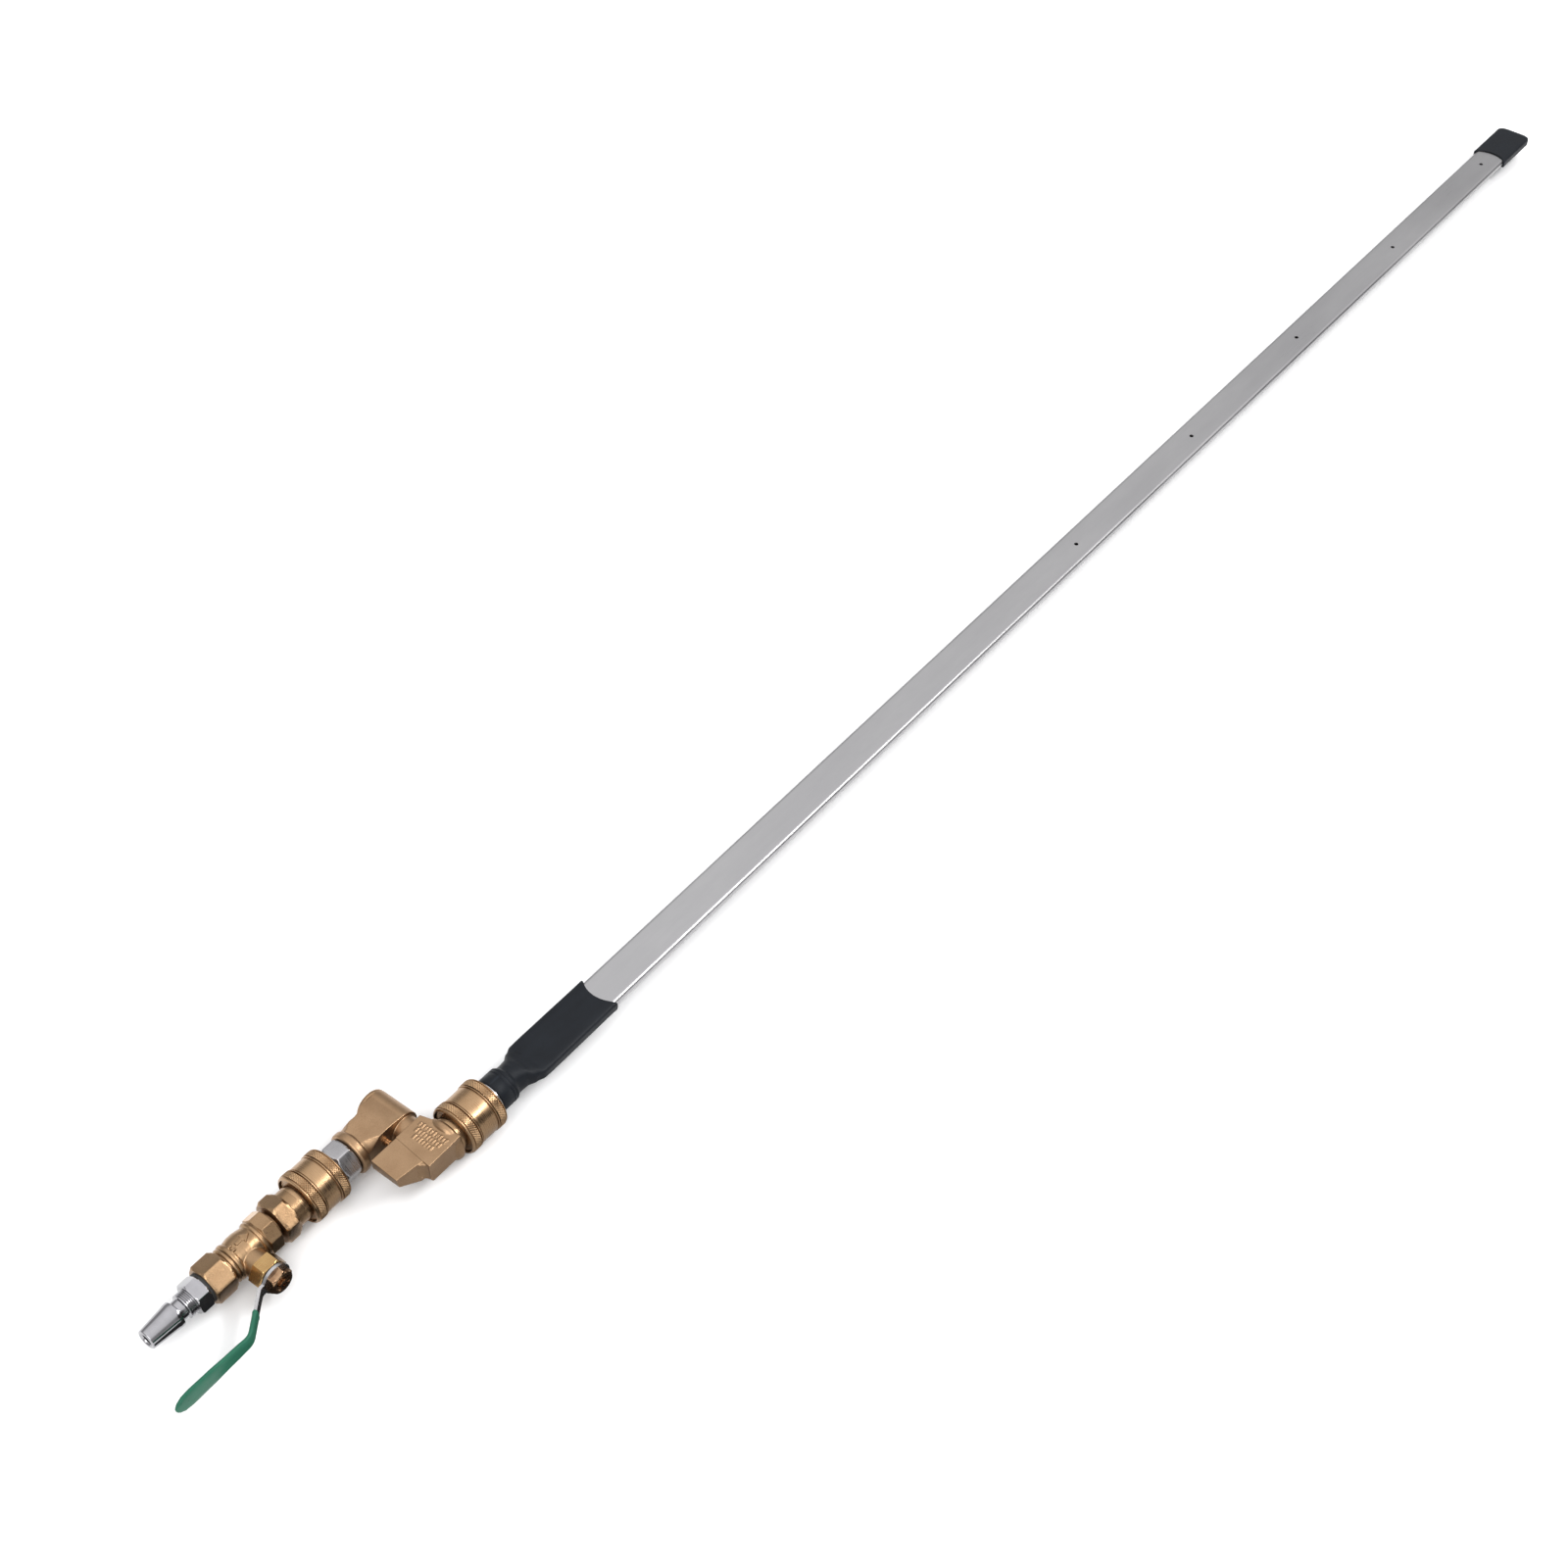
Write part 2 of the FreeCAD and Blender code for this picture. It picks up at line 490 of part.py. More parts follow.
def inlet_web():
    """Crowned web between the collar and the cross barrel, swept in plan."""
    x0, x1, low = 101.0, HINGE_X, -12.0
    plan = [
        Part.makeLine(V(x0, 9.2, low), V(x0, WALL_Y, low)),
        Part.makeLine(V(x0, WALL_Y, low), V(x1, WALL_Y, low)),
        Part.makeLine(V(x1, WALL_Y, low), V(x1, 9.0, low)),
        Part.makeLine(V(x1, 9.0, low), V(x1 - 7.0, 9.0, low)),
        arc_edge([(x1 - 7.0, 9.0, low), (x1 - 9.8, 7.2, low), (x1 - 13.4, 6.7, low)]),
        arc_edge([(x1 - 13.4, 6.7, low), (x0 + 3.2, 7.3, low), (x0, 9.2, low)]),
    ]
    web = Part.Face(Part.Wire(plan)).extrude(V(0, 0, -2 * low))
    top = WEB_HEIGHT
    side = [
        Part.makeLine(V(x0 - 0.1, 0, 0.9 - top), V(x0 - 0.1, 0, top - 0.9)),
        arc_edge([(x0 - 0.1, 0, top - 0.9), (107.5, 0, top - 0.1), (115.0, 0, top - 0.1)]),
        arc_edge([(115.0, 0, top - 0.1), (118.3, 0, top - 0.5), (x1, 0, CROSS_R)]),
        Part.makeLine(V(x1, 0, CROSS_R), V(x1, 0, -CROSS_R)),
        arc_edge([(x1, 0, -CROSS_R), (118.3, 0, 0.5 - top), (115.0, 0, 0.1 - top)]),
        arc_edge([(115.0, 0, 0.1 - top), (107.5, 0, 0.1 - top), (x0 - 0.1, 0, 0.9 - top)]),
    ]
    flank = Part.Face(Part.Wire(side)).extrude(V(0, 40, 0))
    flank.translate(V(0, -20, 0))
    # the web grows out of the round collar
    round_root = revolve([(x0 - 1, 0), (x0 - 1, 9.3), (x0 + 1.5, 9.7), (x0 + 6.0, 11.6),
                          (x0 + 11.0, 15.0), (x1 + 1, 18.0), (x1 + 1, 0)])
    return web.common(flank).common(round_root)


def fillet_some(shape, radius, chooser):
    """Fillet the edges that chooser accepts; sharp edges stay where the kernel refuses."""
    edges = [e for e in shape.Edges if chooser(e)]
    try:
        result = shape.makeFillet(radius, edges)
        if result.isValid() and len(result.Solids) == 1:
            return result
    except Part.OCCError:
        pass
    print("fillet refused", radius, len(edges))
    return shape


def make_swivel_inlet():
    """Inlet casting: collar, web and cross barrel, with its cap, washer and stop pin."""
    collar = revolve([(COLLAR_X, 0), (COLLAR_X + 7.0, 0), (COLLAR_X + 7.0, 7.3),
                      (COLLAR_X + 5.4, 7.9), (COLLAR_X + 4.4, 8.8), (COLLAR_X + 3.9, COLLAR_R - 0.3),
                      (COLLAR_X + 3.2, COLLAR_R), (COLLAR_X + 1.0, COLLAR_R),
                      (COLLAR_X + 0.3, COLLAR_R - 0.3), (COLLAR_X, COLLAR_R - 0.9)])
    barrel = cross_rod(WALL_Y, BARREL_Y[1], CROSS_R, HINGE_X)
    boss = cross_rod(BARREL_Y[0], 0, BOSS_R, HINGE_X)
    solid = union([collar, inlet_web(), barrel, boss])
    tools = [
        rod(COLLAR_X - 1, COLLAR_X + 8.2, THREAD_R + THREAD_GAP),
        rod(COLLAR_X, HINGE_X, FLOW_R),
        cross_rod(-8.0, BARREL_Y[1] + 1, 5.2, HINGE_X),
        cross_rod(BARREL_Y[0] - 1, 0, SPINDLE_R + 0.02, HINGE_X),
        cross_rod(WALL_Y - 1, WALL_Y + 3.0, 1.52, STOP_X, STOP_Z),
    ]
    for tool in tools:
        solid = solid.cut(tool)
    save("swivel_inlet", solid)

    cap_end = BARREL_Y[1] + 2.3
    cap = union([cross_rod(BARREL_Y[1], cap_end, CROSS_R - 0.1, HINGE_X),
                 cross_rod(BARREL_Y[1] - 4.5, BARREL_Y[1] + 1, 5.15, HINGE_X)])
    cap = fillet_some(cap, 1.6, lambda e: e.BoundBox.YMin > cap_end - 0.1)
    save("barrel_cap", cap)
    roll = cross_rod(WALL_Y - 2.4, WALL_Y + 2.9, 1.5, STOP_X, STOP_Z)
    roll = roll.cut(cross_rod(WALL_Y - 5, WALL_Y + 5, 0.85, STOP_X, STOP_Z))
    slit = Part.makeBox(0.6, 12, 3, V(STOP_X - 0.3, WALL_Y - 6, STOP_Z - 3.0))
    save("stop_pin", roll.cut(slit))
    washer = cross_rod(BARREL_Y[0] - 0.05, SEAM_Y + 0.1, BOSS_R - 0.2, HINGE_X)
    save("swivel_washer", washer.cut(cross_rod(0, -40, SPINDLE_R + 0.1, HINGE_X)))


def make_spindle():
    """Hollow spindle that joins the two castings, its O-rings and its retaining pins."""
    x = HINGE_X
    spindle = union([cross_rod(-7.95, 3.8, 5.15, x), cross_rod(-33.4, -7, SPINDLE_R, x)])
    cuts = [cross_rod(-32.0, -7.0, 2.0, x), cross_rod(-7.5, 5, 3.8, x)]
    for y in (-19.6, -30.2):
        cuts.append(cross_rod(y - 0.85, y + 0.85, 9, x).cut(cross_rod(y - 2, y + 2, 2.55, x)))
    cuts.append(cross_rod(-23.6, -21.2, 9, x).cut(cross_rod(-25, -20, 3.2, x)))
    cuts.append(rod(x - 6, x + 6, 1.6, LANCE_Y))
    cuts.append(rod(x - 9, x, 3.4, 0.0))
    for tool in cuts:
        spindle = spindle.cut(tool)
    save("swivel_spindle", spindle)
    rings = [Part.makeTorus(3.25, 0.68, V(x, y, 0), Y_DIR) for y in (-19.6, -30.2)]
    save("spindle_o_rings", Part.makeCompound(rings))
    pins = [Part.makeCylinder(1.0, 14.0, V(x + side * 4.35, -22.4, -7.0)) for side in (-1, 1)]
    save("spindle_pins", Part.makeCompound(pins))


def outlet_profile(points, y0, y1):
    """Extrude a closed (x, z) outline between two y planes."""
    corners = [V(px, y0, pz) for px, pz in points]
    face = Part.Face(Part.makePolygon(corners + [corners[0]]))
    return face.extrude(V(0, y1 - y0, 0))


def hub_section():
    """Cross-section of the hub block along X: flat top and side, well rounded underneath."""
    x0, x1 = HUB_X
    near, far, low = SEAM_Y, OUTLET_Y, BOTTOM_Z
    r = 9.0
    mid = r * (1 - math.sqrt(0.5))
    edges = [
        Part.makeLine(V(x0, near, low), V(x0, near, TOP_Z)),
        Part.makeLine(V(x0, near, TOP_Z), V(x0, far, TOP_Z)),
        Part.makeLine(V(x0, far, TOP_Z), V(x0, far, low + r)),
        arc_edge([(x0, far, low + r), (x0, far + mid, low + mid), (x0, far + r, low)]),
        Part.makeLine(V(x0, far + r, low), V(x0, near, low)),
    ]
    return Part.Face(Part.Wire(edges)).extrude(V(x1 - x0, 0, 0))


def plan_prism(points, z0, z1):
    """Upright prism on a closed (x, y) outline."""
    corners = [V(px, py, z0) for px, py in points]
    return Part.Face(Part.makePolygon(corners + [corners[0]])).extrude(V(0, 0, z1 - z0))


def make_hub_block():
    """Squared block round the hinge; its root face and its far wall are slightly askew."""
    x0, x1 = HUB_X
    block = outlet_profile([(x0, TOP_Z), (x1, TOP_Z), (x1, BOTTOM_Z), (x0 + 7.2, BOTTOM_Z),
                            (x0 + 2.9, -6.0), (x0, -1.0)], SEAM_Y, OUTLET_Y)
    plan = plan_prism([(x0 + 2.1, SEAM_Y), (x1 - 2.7, SEAM_Y), (x1 - 0.8, -21.0), (x1 - 0.3, -28.0),
                       (x1, OUTLET_Y + 0.8), (x1 - 6.0, OUTLET_Y + 0.5), (x0, OUTLET_Y + 0.3)],
                      -20, 20)
    return block.common(hub_section()).common(plan)


def make_lug():
    """Overhanging lug, a wedge in side view, and the hollow fillet that ties it to the hub."""
    top = TOP_Z - 0.4
    x0, x1 = LUG_TIP_X, HUB_X[0] + 3.0
    wedge = outlet_profile([(x0, top), (x1, top), (x1, -4.5), (x1 - 4.6, -3.8), (x0 + 0.9, top - 5.8)],
                           SEAM_Y, OUTLET_Y)
    plan = plan_prism([(x0 + 0.7, SEAM_Y), (x1, SEAM_Y), (x1, -31.6), (HUB_X[0], -31.2),
                       (x0, -29.6)], -20, 20)
    foot = HUB_X[0] + 0.2
    low = -1.4
    edges = [
        Part.makeLine(V(foot + 1, -30.0, low), V(foot - 5.2, -30.0, low)),
        arc_edge([(foot - 5.2, -30.0, low), (foot - 1.6, -31.9, low), (foot, -35.2, low)]),
        Part.makeLine(V(foot, -35.2, low), V(foot + 1, -35.2, low)),
        Part.makeLine(V(foot + 1, -35.2, low), V(foot + 1, -30.0, low)),
    ]
    fillet = Part.Face(Part.Wire(edges)).extrude(V(0, 0, top - 0.3 - low))
    return wedge.common(plan).fuse(fillet)


def make_swivel_outlet():
    """Outlet casting: hub block, overhanging lug and round neck with a bead."""
    x = HINGE_X
    bead_x = HUB_X[1]
    end_x = UPPER_SLEEVE_X - 2.6
    neck = revolve([(x, 0), (end_x, 0), (end_x, 8.4), (end_x - 0.5, NECK_R - 0.4),
                    (bead_x + 0.3, NECK_R), (bead_x + 0.1, NECK_BEAD_R - 0.4),
                    (bead_x - 0.7, NECK_BEAD_R), (bead_x - 1.9, NECK_BEAD_R - 0.1),
                    (bead_x - 3.0, NECK_BEAD_R - 0.8), (bead_x - 3.8, NECK_R - 1.0), (x, 8.6)],
                   LANCE_Y)
    solid = union([make_hub_block(), make_lug(), neck])
    tools = [
        cross_rod(SEAM_Y + 1, -34.0, SPINDLE_R + RUN_GAP, x),
        cross_rod(-25.0, -27.8, 5.0, x),
        rod(x, end_x, FLOW_R, LANCE_Y),
        rod(UPPER_SLEEVE_X - 6.1, end_x + 1, 7.05, LANCE_Y),
    ]
    for side in (-1, 1):
        tools.append(Part.makeCylinder(1.02, 14.1, V(x + side * 4.35, -22.4, -7.05)))
    for tool in tools:
        solid = solid.cut(tool)
    save("swivel_outlet", solid)


def make_upper_coupler():
    """Coupler screwed straight into the outlet casting."""
    tail = [(-2.9, SOCKET_R), (-2.9, 4.6), (-6.0, 4.6), (-6.0, 6.4), (-5.4, 7.0),
            (-2.5, 7.0), (-2.5, BARREL_R)]
    make_coupler("upper", UPPER_SLEEVE_X, LANCE_Y, tail, UPPER_SLEEVE_LEN)


# ---- lance -------------------------------------------------------------------------------------------
def loft(stations, steps, y=LANCE_Y):
    """Solid through rounded-rectangle stations (x, width, height, corner), eased in steps."""
    wires = []
    for a, b in zip(stations[:-1], stations[1:]):
        for i in range(steps):
            t = i / steps
            ease = t * t * (3 - 2 * t)
            x = a[0] + (b[0] - a[0]) * t
            w, h, c = [a[k] + (b[k] - a[k]) * ease for k in (1, 2, 3)]
            wires.append(rounded_wire(x, w, h, c, y))
    wires.append(rounded_wire(*stations[-1], y))
    return Part.makeLoft(wires, True, True)


def make_lance_nipple():
    """Plug on the lance's root and the ferrule that carries the blade."""
    nose_x = UPPER_SLEEVE_X + COUPLER_NOSE_U
    flange_x = nose_x + PLUG_HEX_START
    body = plug_body(nose_x, 168.0, 4.5, LANCE_Y)
    flange = revolve([(flange_x, PLUG_BORE_R), (BOOT_X[0], PLUG_BORE_R), (BOOT_X[0], 8.1),
                      (flange_x + 0.5, 8.1), (flange_x, 7.6)], LANCE_Y)
    save("lance_nipple", union([body, flange]))

    outer = union([rod(158.0, 166.2, 6.2, LANCE_Y),
                   loft([(166.0, 11.8, 11.8, 5.4), (170.5, 12.0, 10.6, 4.9),
                         (BLADE_X[0], BLADE_W, BLADE_T, 1.9)], 4)])
    spigot = flat_bar(BLADE_X[0] - 0.5, 190.0, 17.2, 2.4, 1.1)
    passage = rod(150.0, 168.2, 4.55, LANCE_Y)
    slot = flat_bar(168.0, 191.0, 9.0, 1.3, 0.6)
    save("blade_ferrule", union([outer, spigot]).cut(passage).cut(slot))
    return outer


def make_blade():
    """Hollow flat blade with a row of jets in its top face, and the plug in its tip."""
    x0, x1 = BLADE_X
    skin = flat_bar(x0, x1, BLADE_W, BLADE_T, 1.9)
    inner_w = BLADE_W - 2 * BLADE_WALL
    inner_t = BLADE_T - 2 * BLADE_WALL
    tube = skin.cut(flat_bar(x0 - 1, x1 + 1, inner_w, inner_t, 1.15))
    for i in range(JETS):
        jet = Part.makeCylinder(JET_R, 4, V(JET_FIRST_X + i * JET_PITCH, LANCE_Y, 0))
        tube = tube.cut(jet)
    save("lance_blade", tube)
    save("blade_end_plug", flat_bar(x1 - 14, x1, inner_w - 0.1, inner_t - 0.1, 1.1))
    return skin


def mouth_notch(x, toward_tip):
    """Upright cylinder that hollows the mouth of the boot or the cap in plan."""
    offset = math.sqrt(BOOT_NOTCH_R ** 2 - (BLADE_W / 2 + 1) ** 2)
    centre = x + offset if toward_tip else x - offset
    return Part.makeCylinder(BOOT_NOTCH_R, 20, V(centre, LANCE_Y, -10))


def make_boot(ferrule, blade):
    """Rubber boot: round collar, waist, then flat over the blade's root."""
    x0, x1 = BOOT_X
    collar = revolve([(x0, 0), (x0 + 13.1, 0), (x0 + 13.1, 7.3), (x0 + 10.5, 7.4),
                      (x0 + 9.7, 8.3), (x0 + 8.9, 8.5), (x0 + 0.6, 8.5), (x0, 8.1)], LANCE_Y)
    flare = loft([(x0 + 12.1, 14.4, 14.4, 6.8), (x0 + 16.3, 14.8, 12.6, 5.6),
                  (x0 + 23.5, 21.4, 7.0, 3.0), (x0 + 29.7, 21.6, 6.4, 2.7),
                  (x1, 21.4, 6.2, 2.6)], 4)
    outer = union([collar, flare])
    boot = outer.cut(rod(x0 - 1, 158.1, 4.55, LANCE_Y)).cut(ferrule).cut(blade)
    save("lance_boot", boot.cut(mouth_notch(x1, True)))


def make_tip_cap(blade):
    """Black cap pushed over the blade's tip."""
    outer = flat_bar(CAP_MOUTH_X, TIP_X, 21.2, 6.2, 2.6)
    plan = Part.makeBox(TIP_X - CAP_MOUTH_X + 20, 21.2, 12,
                        V(CAP_MOUTH_X - 20, LANCE_Y - 10.6, -6))
    plan = plan.makeFillet(TIP_CORNER_R, [e for e in plan.Edges if e.BoundBox.ZLength > 11
                                          and e.BoundBox.XMin > TIP_X - 1])
    cap = outer.common(plan).cut(blade)
    save("tip_cap", cap.cut(mouth_notch(CAP_MOUTH_X, False)))


make_inlet_plug()
make_valve_end_cap()
make_valve_body()
make_valve_trim()
make_lever()
make_lower_coupler()
make_lower_nipple()
make_swivel_inlet()
make_spindle()
make_swivel_outlet()
make_upper_coupler()
ferrule_skin = make_lance_nipple()
blade_skin = make_blade()
make_boot(ferrule_skin, blade_skin)
make_tip_cap(blade_skin)
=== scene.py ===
"""Looks of the flat-blade spray lance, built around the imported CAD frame.  Units are metres."""
import bmesh
import bpy
import json
import math
from mathutils import Matrix, Vector


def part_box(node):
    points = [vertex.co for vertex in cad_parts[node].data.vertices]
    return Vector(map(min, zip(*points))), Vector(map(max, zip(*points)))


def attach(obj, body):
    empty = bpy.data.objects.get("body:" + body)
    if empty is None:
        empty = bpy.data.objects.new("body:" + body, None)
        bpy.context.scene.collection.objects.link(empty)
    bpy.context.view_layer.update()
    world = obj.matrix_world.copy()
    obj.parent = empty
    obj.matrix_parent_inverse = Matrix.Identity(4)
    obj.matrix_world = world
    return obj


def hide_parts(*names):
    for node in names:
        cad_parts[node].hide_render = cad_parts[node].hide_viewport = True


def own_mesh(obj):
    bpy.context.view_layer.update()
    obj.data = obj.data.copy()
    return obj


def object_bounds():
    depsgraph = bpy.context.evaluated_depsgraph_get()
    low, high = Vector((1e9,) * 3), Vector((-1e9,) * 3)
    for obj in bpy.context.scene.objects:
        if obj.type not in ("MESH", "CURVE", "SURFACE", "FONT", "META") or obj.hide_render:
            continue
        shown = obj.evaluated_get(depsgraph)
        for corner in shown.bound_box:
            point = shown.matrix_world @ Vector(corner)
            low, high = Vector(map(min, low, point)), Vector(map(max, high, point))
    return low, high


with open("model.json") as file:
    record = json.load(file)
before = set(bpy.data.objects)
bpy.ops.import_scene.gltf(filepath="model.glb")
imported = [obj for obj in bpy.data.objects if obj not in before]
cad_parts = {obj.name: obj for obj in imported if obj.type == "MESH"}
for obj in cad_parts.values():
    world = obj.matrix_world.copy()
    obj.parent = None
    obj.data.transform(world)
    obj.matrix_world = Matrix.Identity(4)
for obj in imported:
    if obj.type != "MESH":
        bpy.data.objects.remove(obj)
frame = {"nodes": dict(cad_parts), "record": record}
cad_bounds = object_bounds()

MM = 0.001
NODES = frame["nodes"]
SLOT_OF = {part["node"]: part["material_slot"] for part in frame["record"]["subparts"]}
BODY_OF = {node: body for body, nodes in frame["record"]["behaviour"]["bodies"].items()
           for node in nodes}
SHARP = math.radians(35)
SEGMENTS = 144


# ---- camera, floor and light -------------------------------------------------------------------
VIEW_TARGET = Vector((0.3757, -0.0127, 0.0021))
VIEW_DISTANCE = 1.1675
VIEW_ELEVATION = math.radians(46.5)
VIEW_TURN = math.radians(51.93)       # angle in plan between the lance and the picture's right
SENSOR = 36.0
LENS = 56.3


def look_along(sight, right):
    """Rotation of a camera or lamp that faces along sight, with right on its right."""
    up = right.cross(sight)
    return Matrix((right, up, -sight)).transposed().to_4x4()


def make_camera():
    """Camera at the view's angle, looking down on the lance from its hose end."""
    right = Vector((math.cos(VIEW_TURN), -math.sin(VIEW_TURN), 0))
    forward = Vector((math.sin(VIEW_TURN), math.cos(VIEW_TURN), 0))
    sight = forward * math.cos(VIEW_ELEVATION) - Vector((0, 0, math.sin(VIEW_ELEVATION)))
    data = bpy.data.cameras.new("camera")
    data.sensor_width = SENSOR
    data.lens = LENS
    data.clip_start = 0.01
    camera = bpy.data.objects.new("camera", data)
    bpy.context.scene.collection.objects.link(camera)
    place = VIEW_TARGET - sight * VIEW_DISTANCE
    camera.matrix_world = Matrix.Translation(place) @ look_along(sight, right)
    bpy.context.scene.camera = camera


def make_softbox(name, direction, distance, size, power, aim):
    """Rectangular area lamp in a direction from the point that it faces."""
    data = bpy.data.lights.new(name, "AREA")
    data.shape = "RECTANGLE"
    data.size, data.size_y = size
    data.energy = power
    lamp = bpy.data.objects.new(name, data)
    lamp.visible_camera = False
    bpy.context.scene.collection.objects.link(lamp)
    sight = -Vector(direction).normalized()
    right = sight.cross(Vector((0, 0, 1))).normalized()
    lamp.matrix_world = Matrix.Translation(aim - sight * distance) @ look_along(sight, right)


def make_floor():
    """Plain pale floor that the couplers' sleeves rest on."""
    half = 6.0                       # half of the floor's side
    z = cad_bounds[0][2]
    mesh = bpy.data.meshes.new("floor")
    mesh.from_pydata([(-half, -half, z), (half, -half, z), (half, half, z), (-half, half, z)],
                     [], [(0, 1, 2, 3)])
    floor = bpy.data.objects.new("floor", mesh)
    bpy.context.scene.collection.objects.link(floor)
    material = bpy.data.materials.new("floor")
    material.use_nodes = True
    shader = material.node_tree.nodes["Principled BSDF"]
    shader.inputs["Base Color"].default_value = (0.86, 0.86, 0.86, 1)
    shader.inputs["Roughness"].default_value = 0.9
    shader.inputs["Specular IOR Level"].default_value = 0.1
    mesh.materials.append(material)


def make_flag(name, first_x, last_x, shade):
    """Studio flag: a low card on the right, seen only in reflections, that darkens metal sides."""
    z = cad_bounds[0][2] + 0.4 * MM
    near, far = -11 * MM, -420 * MM
    slant = 250 * MM                 # the far end lies further along the lance
    mesh = bpy.data.meshes.new(name)
    mesh.from_pydata([(first_x + slant, far, z), (last_x + slant, far, z),
                      (last_x, near, z), (first_x, near, z)], [], [(0, 1, 2, 3)])
    card = bpy.data.objects.new(name, mesh)
    bpy.context.scene.collection.objects.link(card)
    card.visible_camera = False
    card.visible_diffuse = False
    card.visible_shadow = False
    card.visible_transmission = False
    material = bpy.data.materials.new(name)
    material.use_nodes = True
    shader = material.node_tree.nodes["Principled BSDF"]
    shader.inputs["Base Color"].default_value = (shade, shade, shade, 1)
    shader.inputs["Roughness"].default_value = 1.0
    shader.inputs["Specular IOR Level"].default_value = 0.0
    mesh.materials.append(material)


def make_world():
    """Soft surroundings: pale overhead, dim near the horizon, dark low down on the right."""
    world = bpy.data.worlds.new("world")
    bpy.context.scene.world = world
    world.use_nodes = True
    tree = world.node_tree
    background = tree.nodes["Background"]
    coords = tree.nodes.new("ShaderNodeTexCoord")
    split = tree.nodes.new("ShaderNodeSeparateXYZ")
    ramp = tree.nodes.new("ShaderNodeValToRGB")
    tree.links.new(coords.outputs["Generated"], split.inputs[0])
    tree.links.new(split.outputs["Z"], ramp.inputs["Fac"])
    stops = ((0.0, 0.40), (0.30, 0.32), (0.50, 0.38), (0.66, 0.80), (0.85, 0.92), (1.0, 1.0))
    ramp.color_ramp.elements[0].position = stops[0][0]
    ramp.color_ramp.elements[1].position = stops[-1][0]
    for position, level in stops[1:-1]:
        ramp.color_ramp.elements.new(position)
    for element, (position, level) in zip(ramp.color_ramp.elements, stops):
        element.color = (level, level, level * 1.01, 1)

    toward = tree.nodes.new("ShaderNodeVectorMath")
    toward.operation = "DOT_PRODUCT"
    toward.inputs[1].default_value = Vector((0.54, -0.78, 0.30)).normalized()
    tree.links.new(coords.outputs["Generated"], toward.inputs[0])
    dark = tree.nodes.new("ShaderNodeMapRange")
    dark.interpolation_type = "SMOOTHSTEP"
    dark.inputs["From Min"].default_value = 0.86
    dark.inputs["From Max"].default_value = 0.93
    dark.inputs["To Min"].default_value = 1.5
    dark.inputs["To Max"].default_value = 0.12
    tree.links.new(toward.outputs["Value"], dark.inputs["Value"])
    tree.links.new(ramp.outputs["Color"], background.inputs["Color"])
    tree.links.new(dark.outputs["Result"], background.inputs["Strength"])

    # the backdrop itself is plain and pale; only light and reflections see the gradient
    plain = tree.nodes.new("ShaderNodeBackground")
    plain.inputs["Color"].default_value = (0.96, 0.96, 0.96, 1)
    path = tree.nodes.new("ShaderNodeLightPath")
    pick = tree.nodes.new("ShaderNodeMixShader")
    tree.links.new(path.outputs["Is Camera Ray"], pick.inputs["Fac"])
    tree.links.new(background.outputs["Background"], pick.inputs[1])
    tree.links.new(plain.outputs["Background"], pick.inputs[2])
    tree.links.new(pick.outputs["Shader"], tree.nodes["World Output"].inputs["Surface"])


def make_lights():
    """A strip on the right for the long highlights and a broad soft lamp on the left."""
    brass = Vector((0.09, -0.015, 0.0))
    middle = Vector((0.5, -0.02, 0.0))
    make_softbox("strip", (0.54, -0.465, 0.70), 1.7, (0.9, 0.2), 14, brass)
    make_softbox("fill", (-0.75, -0.35, 0.6), 2.6, (2.2, 1.8), 36, middle)
    bpy.context.scene.view_settings.view_transform = "Standard"


